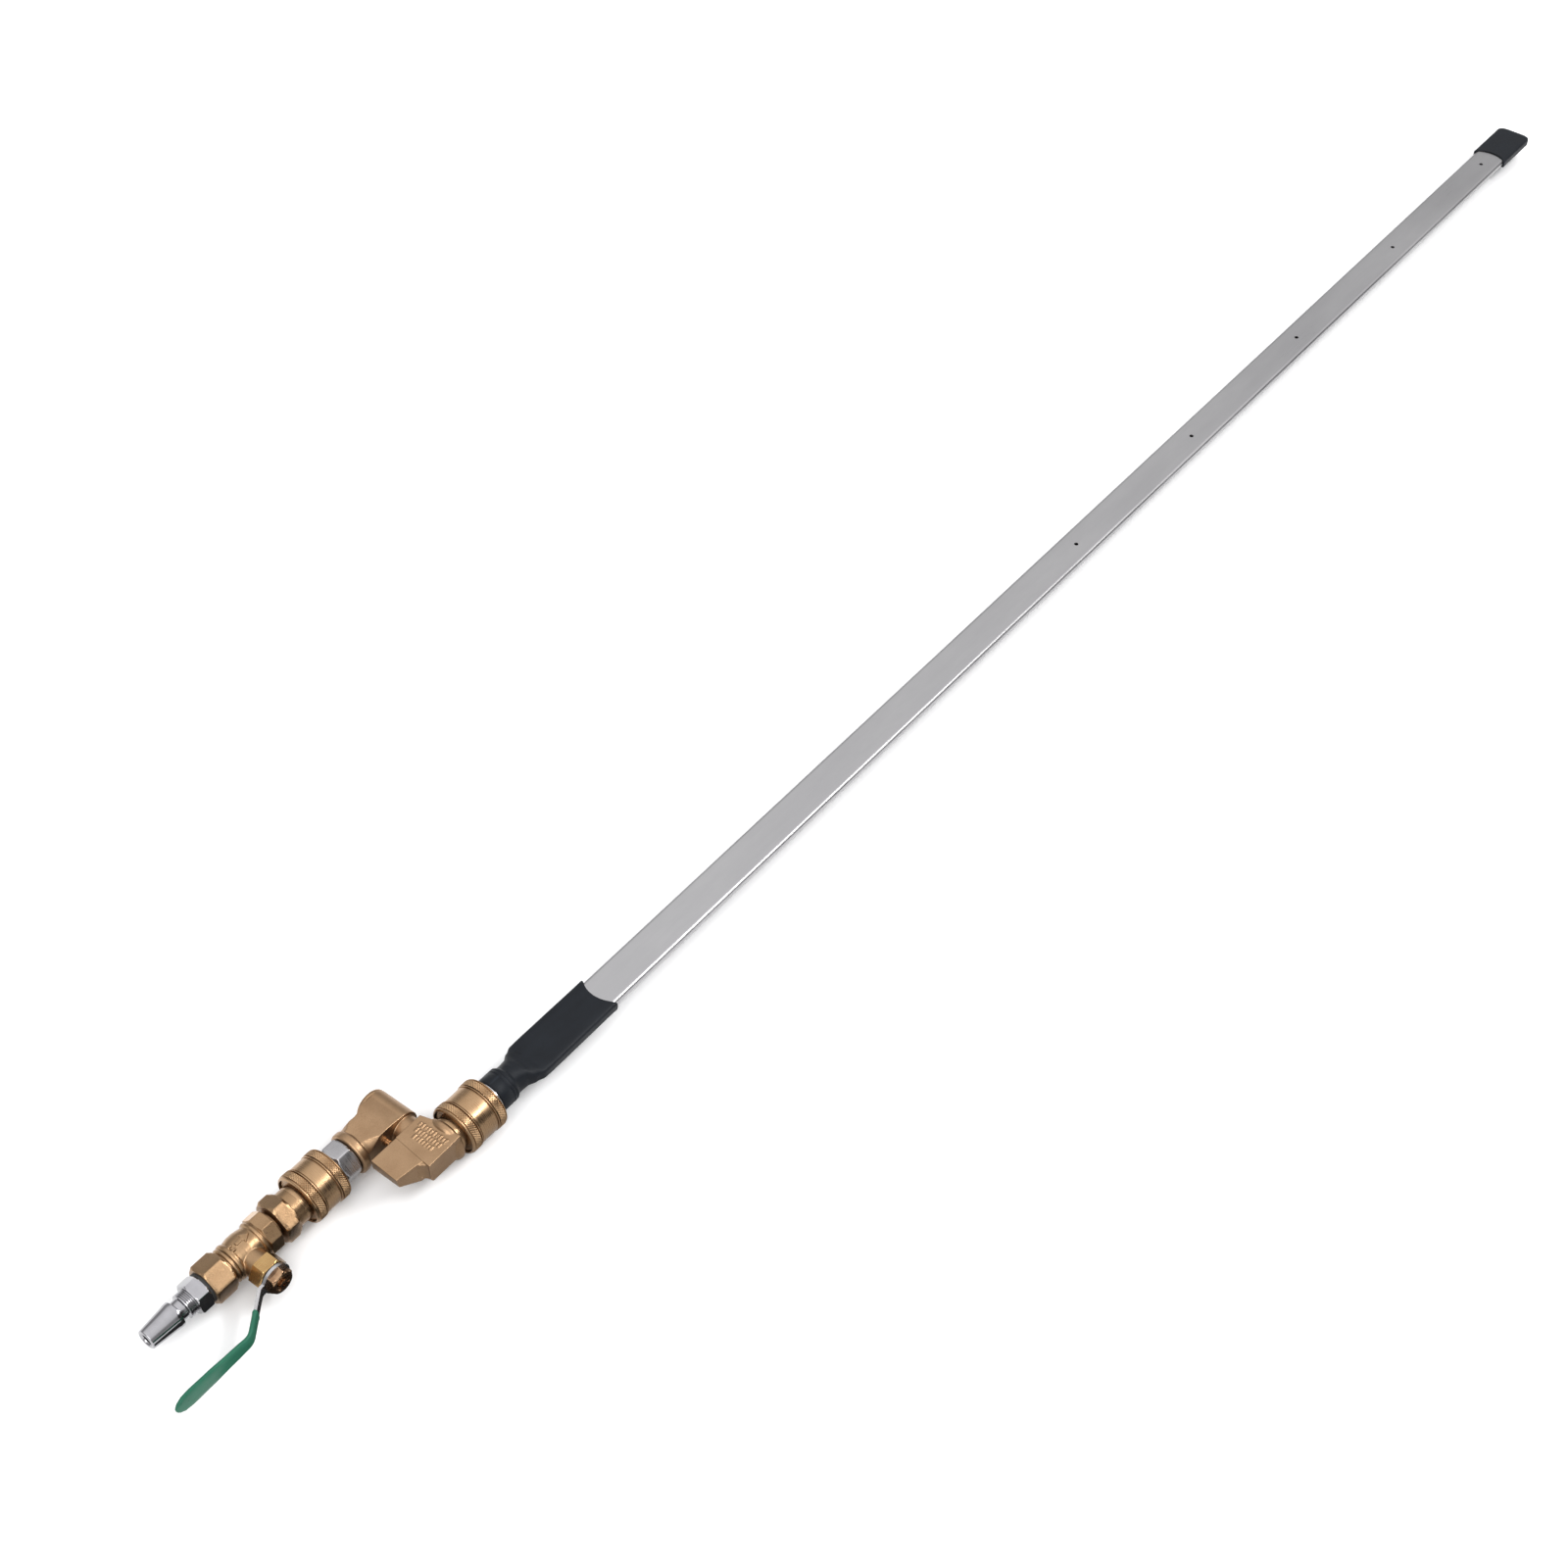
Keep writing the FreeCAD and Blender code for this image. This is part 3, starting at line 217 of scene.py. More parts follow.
# ---- materials ---------------------------------------------------------------------------------
class Finish:
    """A node material around one Principled shader, built in object space."""

    def __init__(self, name, roughness, metallic=0.0, specular=0.5):
        self.material = bpy.data.materials.new(name)
        self.material.use_nodes = True
        self.tree = self.material.node_tree
        self.shader = self.tree.nodes["Principled BSDF"]
        self.shader.inputs["Metallic"].default_value = metallic
        self.shader.inputs["Roughness"].default_value = roughness
        self.shader.inputs["Specular IOR Level"].default_value = specular
        self.coords = self.tree.nodes.new("ShaderNodeTexCoord").outputs["Object"]

    def link(self, output, socket):
        self.tree.links.new(output, socket)

    def noise(self, scale, detail=3.0, stretch=(1, 1, 1)):
        """Noise value; scale is features per metre, stretch multiplies it along each axis."""
        mapping = self.tree.nodes.new("ShaderNodeMapping")
        mapping.inputs["Scale"].default_value = [scale * s for s in stretch]
        self.link(self.coords, mapping.inputs["Vector"])
        texture = self.tree.nodes.new("ShaderNodeTexNoise")
        texture.inputs["Scale"].default_value = 1.0
        texture.inputs["Detail"].default_value = detail
        self.link(mapping.outputs["Vector"], texture.inputs["Vector"])
        return texture.outputs["Fac"]

    def spread(self, value, low, high, start=0.3, end=0.7):
        """Map a value from start..end to low..high."""
        node = self.tree.nodes.new("ShaderNodeMapRange")
        node.inputs["From Min"].default_value = start
        node.inputs["From Max"].default_value = end
        node.inputs["To Min"].default_value = low
        node.inputs["To Max"].default_value = high
        self.link(value, node.inputs["Value"])
        return node.outputs["Result"]

    def mix(self, factor, a, b):
        """Colour between a and b; each is a colour or another node's output."""
        node = self.tree.nodes.new("ShaderNodeMix")
        node.data_type = "RGBA"
        self.link(factor, node.inputs["Factor"])
        for name, colour in (("A", a), ("B", b)):
            socket = [s for s in node.inputs if s.name == name and s.type == "RGBA"][0]
            if isinstance(colour, tuple):
                socket.default_value = (*colour, 1)
            else:
                self.link(colour, socket)
        return [s for s in node.outputs if s.type == "RGBA"][0]

    def math(self, operation, a, b):
        """One arithmetic step on two values; b may be a number."""
        node = self.tree.nodes.new("ShaderNodeMath")
        node.operation = operation
        self.link(a, node.inputs[0])
        if isinstance(b, (int, float)):
            node.inputs[1].default_value = b
        else:
            self.link(b, node.inputs[1])
        return node.outputs["Value"]

    def edges(self, start, end):
        """From 0 on flat ground to 1 on convex edges; start above end turns it to hollows."""
        pointiness = self.tree.nodes.new("ShaderNodeNewGeometry").outputs["Pointiness"]
        return self.spread(pointiness, 0.0, 1.0, start, end)

    def colour(self, output):
        self.link(output, self.shader.inputs["Base Color"])

    def roughness(self, output):
        self.link(output, self.shader.inputs["Roughness"])

    def bump(self, height, depth):
        """Surface relief; depth is in metres for a height of 1."""
        node = self.tree.nodes.new("ShaderNodeBump")
        node.inputs["Strength"].default_value = 1.0
        node.inputs["Distance"].default_value = depth
        self.link(height, node.inputs["Height"])
        self.link(node.outputs["Normal"], self.shader.inputs["Normal"])


ALONG_X = (1, 0.02, 0.02)        # stretch for tool marks that run round an X axis
ALONG_Y = (0.02, 1, 0.02)        # the same round a Y axis


def turned_metal(name, light, dark, roughness, stretch=ALONG_X):
    """Metal off a lathe: fine rings, soft stains, polished edges lightened further as a painted
    highlight, and painted shade in the hollows.
    """
    finish = Finish(name, roughness, metallic=1.0)
    rings = finish.noise(5200, 4, stretch)
    stains = finish.noise(130, 4)
    body = finish.mix(finish.spread(stains, 0, 1), dark, light)
    # painted highlight: convex edges lightened, partly as polish and partly in place of light
    # catching the edges
    polish_and_painted_highlight = tuple(min(1.0, c * 1.35) for c in light)
    body = finish.mix(finish.edges(0.52, 0.62), body, polish_and_painted_highlight)
    # painted shade: hollows darkened where less light reaches them
    finish.colour(finish.mix(finish.edges(0.48, 0.40), body, tuple(c * 0.55 for c in dark)))
    uneven = finish.math("ADD", finish.spread(rings, -0.07, 0.07),
                         finish.spread(stains, roughness - 0.04, roughness + 0.06))
    finish.roughness(uneven)
    finish.bump(rings, 0.012 * MM)
    return finish.material


def cast_metal(name, light, dark, roughness):
    """Tumbled casting: pitted grain, soft stains, burnished edges lightened further as a painted
    highlight, and painted shade in the hollows.
    """
    finish = Finish(name, roughness, metallic=1.0)
    grain = finish.noise(2600, 5)
    lumps = finish.noise(420, 3)
    stains = finish.noise(90, 4)
    body = finish.mix(finish.spread(stains, 0, 1), dark, light)
    pits = finish.spread(grain, 0.0, 0.35, 0.45, 0.7)
    body = finish.mix(pits, body, tuple(c * 0.6 for c in dark))
    # painted highlight: convex edges lightened, partly as burnish and partly in place of light
    # catching the edges
    polish_and_painted_highlight = tuple(min(1.0, c * 1.45) for c in light)
    body = finish.mix(finish.edges(0.525, 0.60), body, polish_and_painted_highlight)
    # painted shade: hollows darkened where less light reaches them
    finish.colour(finish.mix(finish.edges(0.475, 0.40), body, tuple(c * 0.45 for c in dark)))
    worn = finish.math("SUBTRACT", finish.spread(grain, roughness - 0.05, roughness + 0.12),
                       finish.math("MULTIPLY", finish.edges(0.52, 0.60), 0.16))
    finish.roughness(worn)
    finish.bump(finish.math("ADD", grain, finish.math("MULTIPLY", lumps, 1.4)), 0.024 * MM)
    return finish.material


def brushed_blade(name):
    """Flat stainless tube, satin along its length, with faint handling marks."""
    finish = Finish(name, 0.36, metallic=1.0)
    brush = finish.noise(2800, 3, (0.006, 1, 1))
    smears = finish.noise(26, 5, (0.35, 1.6, 1))
    cloudy = finish.noise(300, 4, (0.3, 1, 1))
    body = finish.mix(finish.spread(smears, 0, 1), (0.37, 0.366, 0.372), (0.41, 0.406, 0.41))
    finish.colour(finish.mix(finish.spread(cloudy, 0.0, 0.25), body, (0.34, 0.336, 0.345)))
    finish.roughness(finish.math("ADD", finish.spread(brush, -0.06, 0.06),
                                 finish.spread(smears, 0.32, 0.42)))
    finish.bump(brush, 0.008 * MM)
    return finish.material


def dipped_vinyl(name, light, dark, roughness, specular):
    """Dipped vinyl: slow sags, fine orange-peel, paler on its convex edges."""
    finish = Finish(name, roughness, specular=specular)
    peel = finish.noise(1500, 3)
    sags = finish.noise(150, 3, (0.5, 1, 1))
    body = finish.mix(finish.spread(sags, 0, 1), dark, light)
    # convex edges lightened by pointiness
    finish.colour(finish.mix(finish.edges(0.53, 0.66), body, tuple(c * 1.6 for c in light)))
    finish.roughness(finish.math("ADD", finish.spread(peel, -0.05, 0.07),
                                 finish.spread(sags, roughness - 0.05, roughness + 0.08)))
    finish.bump(finish.math("ADD", peel, finish.math("MULTIPLY", sags, 3.0)), 0.035 * MM)
    return finish.material


def plated_steel(name, light, dark, roughness):
    """Plated sheet or wire: faint spangle, dull patches and painted shade in the hollows."""
    finish = Finish(name, roughness, metallic=1.0)
    spangle = finish.noise(900, 2)
    dull = finish.noise(210, 4)
    body = finish.mix(finish.spread(dull, 0, 1), dark, light)
    # painted shade: hollows darkened where less light reaches them
    finish.colour(finish.mix(finish.edges(0.49, 0.42), body, tuple(c * 0.5 for c in dark)))
    finish.roughness(finish.math("ADD", finish.spread(spangle, -0.05, 0.05),
                                 finish.spread(dull, roughness - 0.04, roughness + 0.08)))
    finish.bump(spangle, 0.01 * MM)
    return finish.material


def soft_plastic(name, light, dark, roughness):
    """Rubber or PTFE seal: matt, slightly mottled."""
    finish = Finish(name, roughness)
    mottle = finish.noise(700, 4)
    finish.colour(finish.mix(finish.spread(mottle, 0, 1), dark, light))
    finish.roughness(finish.spread(mottle, roughness - 0.05, roughness + 0.08))
    finish.bump(mottle, 0.02 * MM)
    return finish.material


BRASS_LIGHT = (0.38, 0.247, 0.140)
BRASS_DARK = (0.32, 0.202, 0.110)

MATERIALS = {
    "valve_brass": cast_metal("valve_brass", (0.37, 0.240, 0.135), (0.28, 0.175, 0.094), 0.30),
    "turned_brass": turned_metal("turned_brass", BRASS_LIGHT, BRASS_DARK, 0.27),
    "cast_brass": cast_metal("cast_brass", (0.385, 0.250, 0.146), (0.315, 0.198, 0.112), 0.36),
    "chrome_plate": turned_metal("chrome_plate", (0.39, 0.385, 0.40), (0.32, 0.316, 0.33), 0.13),
    "nickel_plate": turned_metal("nickel_plate", (0.44, 0.43, 0.44), (0.36, 0.352, 0.36), 0.28),
    "spring_steel": plated_steel("spring_steel", (0.45, 0.44, 0.43), (0.30, 0.29, 0.28), 0.30),
    "stainless_blade": brushed_blade("stainless_blade"),
    "black_vinyl": dipped_vinyl("black_vinyl", (0.0085, 0.0105, 0.014), (0.0055, 0.0068, 0.0092),
                                0.46, 0.16),
    "seal_rubber": soft_plastic("seal_rubber", (0.03, 0.03, 0.03), (0.015, 0.015, 0.015), 0.6),
    "ptfe": soft_plastic("ptfe", (0.80, 0.80, 0.78), (0.70, 0.70, 0.68), 0.45),
    "zinc_plate": plated_steel("zinc_plate", (0.50, 0.49, 0.49), (0.38, 0.372, 0.38), 0.24),
    "green_vinyl": dipped_vinyl("green_vinyl", (0.022, 0.122, 0.074), (0.016, 0.096, 0.058),
                                0.34, 0.18),
    "copper_tone": plated_steel("copper_tone", (0.46, 0.30, 0.18), (0.26, 0.15, 0.085), 0.20),
}
GLAND_BRASS = turned_metal("gland_brass", (0.43, 0.275, 0.12), (0.33, 0.20, 0.082), 0.22, ALONG_Y)


def paint_nodes():
    """Give each CAD node the material of its slot."""
    for name, node in NODES.items():
        node.data.materials.clear()
        node.data.materials.append(MATERIALS[SLOT_OF[name]])


# ---- mesh helpers ------------------------------------------------------------------------------
def add_piece(name, mesh, node, material=None, keep_sharp=True):
    """Link a mesh that stands for a CAD node, with its slot's material, on its body, and hide the
    node.
    """
    piece = bpy.data.objects.new(name, mesh)
    bpy.context.scene.collection.objects.link(piece)
    slot = SLOT_OF[node]
    mesh.materials.clear()
    mesh.materials.append(material or MATERIALS[slot])
    mesh.shade_smooth()
    if keep_sharp:
        mesh.set_sharp_from_angle(angle=SHARP)
        even = piece.modifiers.new("even_normals", "WEIGHTED_NORMAL")
        even.keep_sharp = True
    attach(piece, BODY_OF[node])
    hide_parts(node)
    return piece


def finished_mesh(name, bm):
    """Mesh from a bmesh, with its normals facing out."""
    bmesh.ops.recalc_face_normals(bm, faces=bm.faces)
    mesh = bpy.data.meshes.new(name)
    bm.to_mesh(mesh)
    bm.free()
    return mesh


def skin_rings(name, rings, loop):
    """Mesh through rings of points.  loop joins the last ring to the first, else fans close it."""
    bm = bmesh.new()
    rows = [[bm.verts.new(point) for point in ring] for ring in rings]
    count = len(rows[0])
    pairs = list(zip(rows[:-1], rows[1:]))
    if loop:
        pairs.append((rows[-1], rows[0]))
    for a, b in pairs:
        for i in range(count):
            j = (i + 1) % count
            bm.faces.new((a[i], a[j], b[j], b[i]))
    if not loop:
        for row in (rows[0], rows[-1]):
            centre = bm.verts.new(sum((v.co for v in row), Vector()) / count)
            for i in range(count):
                bm.faces.new((row[i], row[(i + 1) % count], centre))
    return finished_mesh(name, bm)


def soften(outline, radius):
    """Closed outline with each corner replaced by a small three-point curve."""
    out = []
    for i, corner in enumerate(outline):
        p = Vector(corner)
        before = Vector(outline[i - 1]) - p
        after = Vector(outline[(i + 1) % len(outline)]) - p
        if before.length < 1e-7 or after.length < 1e-7:
            continue
        if before.angle(-after) < math.radians(14):
            out.append(corner)
            continue
        run = min(radius, 0.42 * before.length, 0.42 * after.length)
        a = p + before.normalized() * run
        b = p + after.normalized() * run
        for t in (0.0, 0.5, 1.0):
            out.append(tuple(a * (1 - t) ** 2 + p * 2 * t * (1 - t) + b * t * t))
    return out


def turned(name, outline, origin, axis, shape=None, radius=0.18, segments=SEGMENTS):
    """Solid turned about an axis from a closed (distance, radius) outline in millimetres.
    shape may change a radius by where it is along and round the axis; radius rounds corners."""
    across = Vector((0, 1, 0)) if abs(axis.x) > 0.5 else Vector((1, 0, 0))
    up = Vector((0, 0, 1))
    rings = []
    for s, r in soften(outline, radius):
        ring = []
        for i in range(segments):
            angle = 2 * math.pi * i / segments
            here = shape(s, r, angle) if shape else r
            out = across * math.cos(angle) + up * math.sin(angle)
            ring.append(origin + axis * s * MM + out * here * MM)
        rings.append(ring)
    return skin_rings(name, rings, loop=True)


def flats(count, across_flats, start, end, turn):
    """Radius rule that cuts flats between two stations, with slightly rounded corners."""
    half = math.pi / count
    power = 70                       # the higher, the sharper the corners

    def shape(s, r, angle):
        if not start - 0.01 <= s <= end + 0.01:
            return r
        off = (angle - math.radians(turn) + half) % (2 * half) - half
        flat = across_flats / 2 / math.cos(off)
        return (r ** -power + flat ** -power) ** (-1 / power)
    return shape


X_AXIS = Vector((1, 0, 0))
OUTWARD = Vector((0, -1, 0))


def hex_outline(start, end, across_flats, chamfer):
    """Outline points of a turned-off hexagon, from its start face to its end face."""
    tip = across_flats / math.sqrt(3)
    low = across_flats / 2 * 1.02
    return [(start, low), (start + chamfer, tip), (end - chamfer, tip), (end, low)]


# ---- turned pieces -----------------------------------------------------------------------------
def make_inlet_plug():
    """Chromed plug: taper, seal land, ball groove, fine collars, hexagon and thread."""
    start_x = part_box("inlet_plug")[0].x
    hex_a, hex_b, across, thread = 23.0, 29.6, 14.0, 6.3
    outline = [(0.0, 4.1), (0.4, 4.6), (12.4, 5.75), (13.5, 6.0), (15.4, 6.0), (16.0, 4.6),
               (18.7, 4.6), (19.1, 5.7)]
    for k in range(4):
        s = 19.5 + k * 0.85
        outline += [(s, 5.75), (s + 0.15, 5.2), (s + 0.42, 5.2), (s + 0.57, 5.75)]
    outline += [(hex_a, 5.75)] + hex_outline(hex_a, hex_b, across, 0.7)
    outline += [(hex_b, thread), (39.2, thread), (39.2, 2.7), (0.8, 2.7), (0.0, 3.3)]
    mesh = turned("plug", outline, Vector((start_x, 0, 0)), X_AXIS,
                  flats(6, across, hex_a, hex_b, 48))
    add_piece("plug", mesh, "inlet_plug")


def make_end_cap():
    """Inlet end of the valve: hexagon, rounded neck and bead."""
    start_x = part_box("valve_end_cap")[0].x
    across = 17.0
    outline = hex_outline(0.0, 10.7, across, 1.1)
    outline += [(10.7, 7.7), (11.5, 7.4), (11.9, 8.0), (12.6, 8.35), (13.3, 8.1), (13.5, 7.6),
                (13.5, 7.0), (16.7, 7.0), (16.7, 6.4), (13.1, 6.4), (13.1, 3.5), (9.2, 3.5),
                (9.2, 6.45), (0.0, 6.45)]
    mesh = turned("end_cap", outline, Vector((start_x, 0, 0)), X_AXIS,
                  flats(6, across, 0, 10.7, 8))
    add_piece("end_cap", mesh, "valve_end_cap")


def make_adapter():
    """Adapter between valve and coupler: thread, hexagon and barrel."""
    start_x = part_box("lower_adapter")[0].x
    across, hex_a, hex_b = 19.0, 6.9, 14.2
    outline = [(0.0, 5.75), (0.6, 6.3), (6.3, 6.3), (hex_a, 8.2)]
    outline += hex_outline(hex_a, hex_b, across, 1.3)
    outline += [(hex_b + 0.5, 8.55), (18.5, 8.55), (18.5, 7.0), (22.5, 7.0), (22.5, 5.0),
                (7.6, 5.0), (7.6, 3.5), (0.0, 3.5)]
    mesh = turned("adapter", outline, Vector((start_x, 0, 0)), X_AXIS,
                  flats(6, across, hex_a, hex_b, 8))
    add_piece("adapter", mesh, "lower_adapter")


def make_nipple():
    """Steel nipple between the lower coupler and the swivel."""
    low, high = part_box("lower_nipple")
    across, hex_a, hex_b, end = 17.0, 23.0, 31.2, (high.x - low.x) / MM
    outline = [(0.0, 4.1), (0.4, 4.6), (12.4, 5.75), (13.5, 6.0), (15.4, 6.0), (16.0, 4.6),
               (19.2, 4.6), (19.7, 5.7), (22.3, 5.7), (hex_a, 5.2)]
    outline += hex_outline(hex_a, hex_b, across, 1.0)
    outline += [(hex_b, 6.3), (end, 6.3), (end, 2.7), (0.6, 2.7), (0.0, 3.3)]
    mesh = turned("nipple", outline, Vector((low.x, 0, 0)), X_AXIS,
                  flats(6, across, hex_a, hex_b, 22))
    add_piece("nipple", mesh, "lower_nipple")


def make_gland():
    """Hexagonal gland nut round the valve's stem."""
    low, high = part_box("gland_nut")
    across, length, bore = 13.4, (high.y - low.y) / MM, 2.46
    tip = across / math.sqrt(3)
    outline = [(0.0, tip), (length - 0.9, tip), (length, 6.7), (length, bore), (0.0, bore)]
    middle = (low.x + high.x) / 2
    mesh = turned("gland", outline, Vector((middle, high.y, 0)), OUTWARD,
                  flats(6, across, 0, length, 30))
    add_piece("gland", mesh, "gland_nut", GLAND_BRASS)


def make_lever_nut():
    """Hexagon nut with a domed face, on the end of the stem."""
    low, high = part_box("lever_nut")
    across, length, bore = 10.6, (high.y - low.y) / MM, 2.43
    tip = across / math.sqrt(3)
    outline = [(0.0, tip), (length - 1.1, tip), (length - 0.3, 5.2), (length, 4.7), (length, 3.7),
               (length - 0.9, 3.2), (length - 0.9, bore), (0.0, bore)]
    middle = (low.x + high.x) / 2
    mesh = turned("nut", outline, Vector((middle, high.y, 0)), OUTWARD,
                  flats(6, across, 0, length - 0.5, 42))
    add_piece("nut", mesh, "lever_nut")


KNURLS = 76                       # round the sleeve
KNURL_DEPTH = 0.38
KNURL_ROWS = 13                   # quarter pitches along each band
KNURL_LIP = 1.3                   # plain lip outside each band


def make_sleeve(name, node):
    """Coupler sleeve: knurled band at each end, grooves beside it and a smooth waist."""
    low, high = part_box(node)
    r = (high.z - low.z) / 2 / MM
    end = (high.x - low.x) / MM
    pitch = 2 * math.pi * r / KNURLS
    band = KNURL_ROWS * pitch / 4
    bands = ((KNURL_LIP, KNURL_LIP + band), (end - KNURL_LIP - band, end - KNURL_LIP))
    first = [(bands[0][0] + k * pitch / 4, r) for k in range(KNURL_ROWS + 1)]
    last = [(bands[1][0] + k * pitch / 4, r) for k in range(KNURL_ROWS + 1)]
    a, b = bands[0][1], bands[1][0]
    outline = [(0.0, r - 1.2), (0.5, r - 0.35), (0.9, r - 0.3), (1.05, r - 0.55),
               (1.2, r - 0.55)] + first
    lip, waist, groove = r - 0.15, r - 0.5, r - 0.95
    outline += [(a + 0.1, groove), (a + 0.4, groove), (a + 0.5, lip), (a + 0.95, lip),
                (a + 1.05, groove), (a + 1.4, groove), (a + 1.5, waist), (b - 1.5, waist),
                (b - 1.4, groove), (b - 1.05, groove), (b - 0.95, lip), (b - 0.5, lip),
                (b - 0.4, groove), (b - 0.1, groove)]
    outline += last + [(end - 1.2, r - 0.55), (end - 1.05, r - 0.55), (end - 0.9, r - 0.3),
                       (end - 0.5, r - 0.35), (end, r - 1.3)]
    outline += [(end, 10.2), (end - 0.3, 9.95), (17.3, 9.95), (17.3, 8.0), (13.0, 8.0),
                (13.0, 11.0), (0.0, 11.0)]

    def knurl(s, radius, angle):
        """Diamond pyramids where two sets of slanted grooves cross."""
        for start, stop in bands:
            if start - 0.01 <= s <= stop + 0.01 and radius > r - 0.05:
                u = angle * KNURLS / (2 * math.pi)
                v = (s - start) / pitch
                peak = min(abs((u + v) % 1 * 2 - 1), abs((u - v) % 1 * 2 - 1))
                return radius - KNURL_DEPTH * (1 - peak)
        return radius

    origin = Vector((low.x, (low.y + high.y) / 2, 0))
    mesh = turned(name, outline, origin, X_AXIS, knurl, segments=KNURLS * 4)
    add_piece(name, mesh, node)


# ---- castings ----------------------------------------------------------------------------------
def prism(bm, corners, z0, z1):
    """Add an upright prism on (x, y) corners to a bmesh."""
    low = [bm.verts.new((x, y, z0)) for x, y in corners]
    high = [bm.verts.new((x, y, z1)) for x, y in corners]
    count = len(corners)
    bm.faces.new(low[::-1])
    bm.faces.new(high)
    for i in range(count):
        j = (i + 1) % count
        bm.faces.new((low[i], low[j], high[j], high[i]))


def rib(bm, x, y, length, width, z0, z1):
    """Add one short raised rib, its long side along X."""
    a, b = length / 2, width / 2
    prism(bm, [(x - a, y - b), (x + a, y - b), (x + a, y + b), (x - a, y + b)], z0, z1)


def arrow(bm, x, y, length, width, z0, z1):
    """Add a raised arrow that points along X."""
    a, b = length / 2, width / 2
    prism(bm, [(x - a, y - b / 3), (x, y - b / 3), (x, y - b), (x + a, y), (x, y + b),
               (x, y + b / 3), (x - a, y + b / 3)], z0, z1)


def cast_piece(name, node, voxel, rounds, marks=None):
    """Copy of a CAD node with raised marks, remeshed and softened like a casting."""
    bm = bmesh.new()
    bm.from_mesh(NODES[node].data)
    bmesh.ops.remove_doubles(bm, verts=bm.verts, dist=1e-6)
    if marks:
        marks(bm)
    mesh = finished_mesh(name + "_form", bm)
    form = bpy.data.objects.new(name + "_form", mesh)
    bpy.context.scene.collection.objects.link(form)
    remesh = form.modifiers.new("remesh", "REMESH")
    remesh.mode = "VOXEL"
    remesh.voxel_size = voxel
    smooth = form.modifiers.new("smooth", "SMOOTH")
    smooth.factor = 0.5
    smooth.iterations = rounds
    graph = bpy.context.evaluated_depsgraph_get()
    soft = bpy.data.meshes.new_from_object(form.evaluated_get(graph))
    bpy.data.objects.remove(form)
    soft.name = name
    return add_piece(name, soft, node, keep_sharp=False)


def make_castings():
    """The two swivel castings, the valve's body and the barrel's end cap."""
    low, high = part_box("swivel_outlet")
    hub_top = 8.9 * MM
    hub_x = low.x + 23.4 * MM
    hub_y = (low.y + high.y) / 2 + 0.6 * MM
    rib_pitch, row_pitch = 1.62, 3.05

    def outlet_marks(bm):
        """Three rows of short raised ribs, long and short by turns, on the hub's flat top."""
        for row, count in ((-1, 7), (0, 9), (1, 10)):
            for k in range(count):
                y = hub_y + (k - (count - 1) / 2) * rib_pitch * MM
                length = (2.3, 1.7)[k % 2] * MM
                rib(bm, hub_x + row * row_pitch * MM, y, length, 0.8 * MM,
                    hub_top - 1.0 * MM, hub_top + 0.4 * MM)

    def valve_marks(bm):
        """A raised flow arrow on the valve's housing."""
        ball_low, ball_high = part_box("valve_ball")
        x = (ball_low.x + ball_high.x) / 2
        arrow(bm, x + 1.2 * MM, -0.4 * MM, 7.0 * MM, 5.0 * MM, 7.2 * MM, 9.15 * MM)
        for y in (-1.6, 0.8):
            rib(bm, x - 4.4 * MM, y * MM, 1.9 * MM, 0.9 * MM, 7.0 * MM, 8.75 * MM)

    cast_piece("outlet_casting", "swivel_outlet", 0.21 * MM, 4, outlet_marks)
    cast_piece("inlet_casting", "swivel_inlet", 0.21 * MM, 5)
    cast_piece("valve_casting", "valve_body", 0.18 * MM, 3, valve_marks)
    cast_piece("barrel_end", "barrel_cap", 0.2 * MM, 3)


# ---- dipped vinyl ------------------------------------------------------------------------------
def rounded_ring(centre, side, up, half_side, half_up, power, bow=None, count=112):
    """Ring between an ellipse (power 2) and a rectangle.  bow shifts points by their place."""
    ring = []
    for i in range(count):
        angle = 2 * math.pi * i / count
        c, s = math.cos(angle), math.sin(angle)
        across = half_side * math.copysign(abs(c) ** (2 / power), c)
        rise = half_up * math.copysign(abs(s) ** (2 / power), s)
        point = centre + side * across + up * rise
        if bow:
            point += bow(across)
        ring.append(point)
    return ring


def eased(stations, steps):
    """Stations (x, a, b, ...) with eased ones put between them."""
    out = []
    for first, second in zip(stations[:-1], stations[1:]):
        for k in range(steps):
            t = k / steps
            e = t * t * (3 - 2 * t)
            out.append((first[0] + (second[0] - first[0]) * t,)
                       + tuple(p + (q - p) * e for p, q in zip(first[1:], second[1:])))
    return out + [stations[-1]]


SIDE = Vector((0, 1, 0))
UP = Vector((0, 0, 1))


MOUTH_HOLLOW = 3.9                # how far the middle of a dipped mouth lies behind its edges


def mouth_bow(half, depth, share):
    """Shift along X that hollows a mouth by depth at its middle."""
    return lambda across: X_AXIS * (depth * share * (1 - min(1.0, abs(across) / half) ** 2))


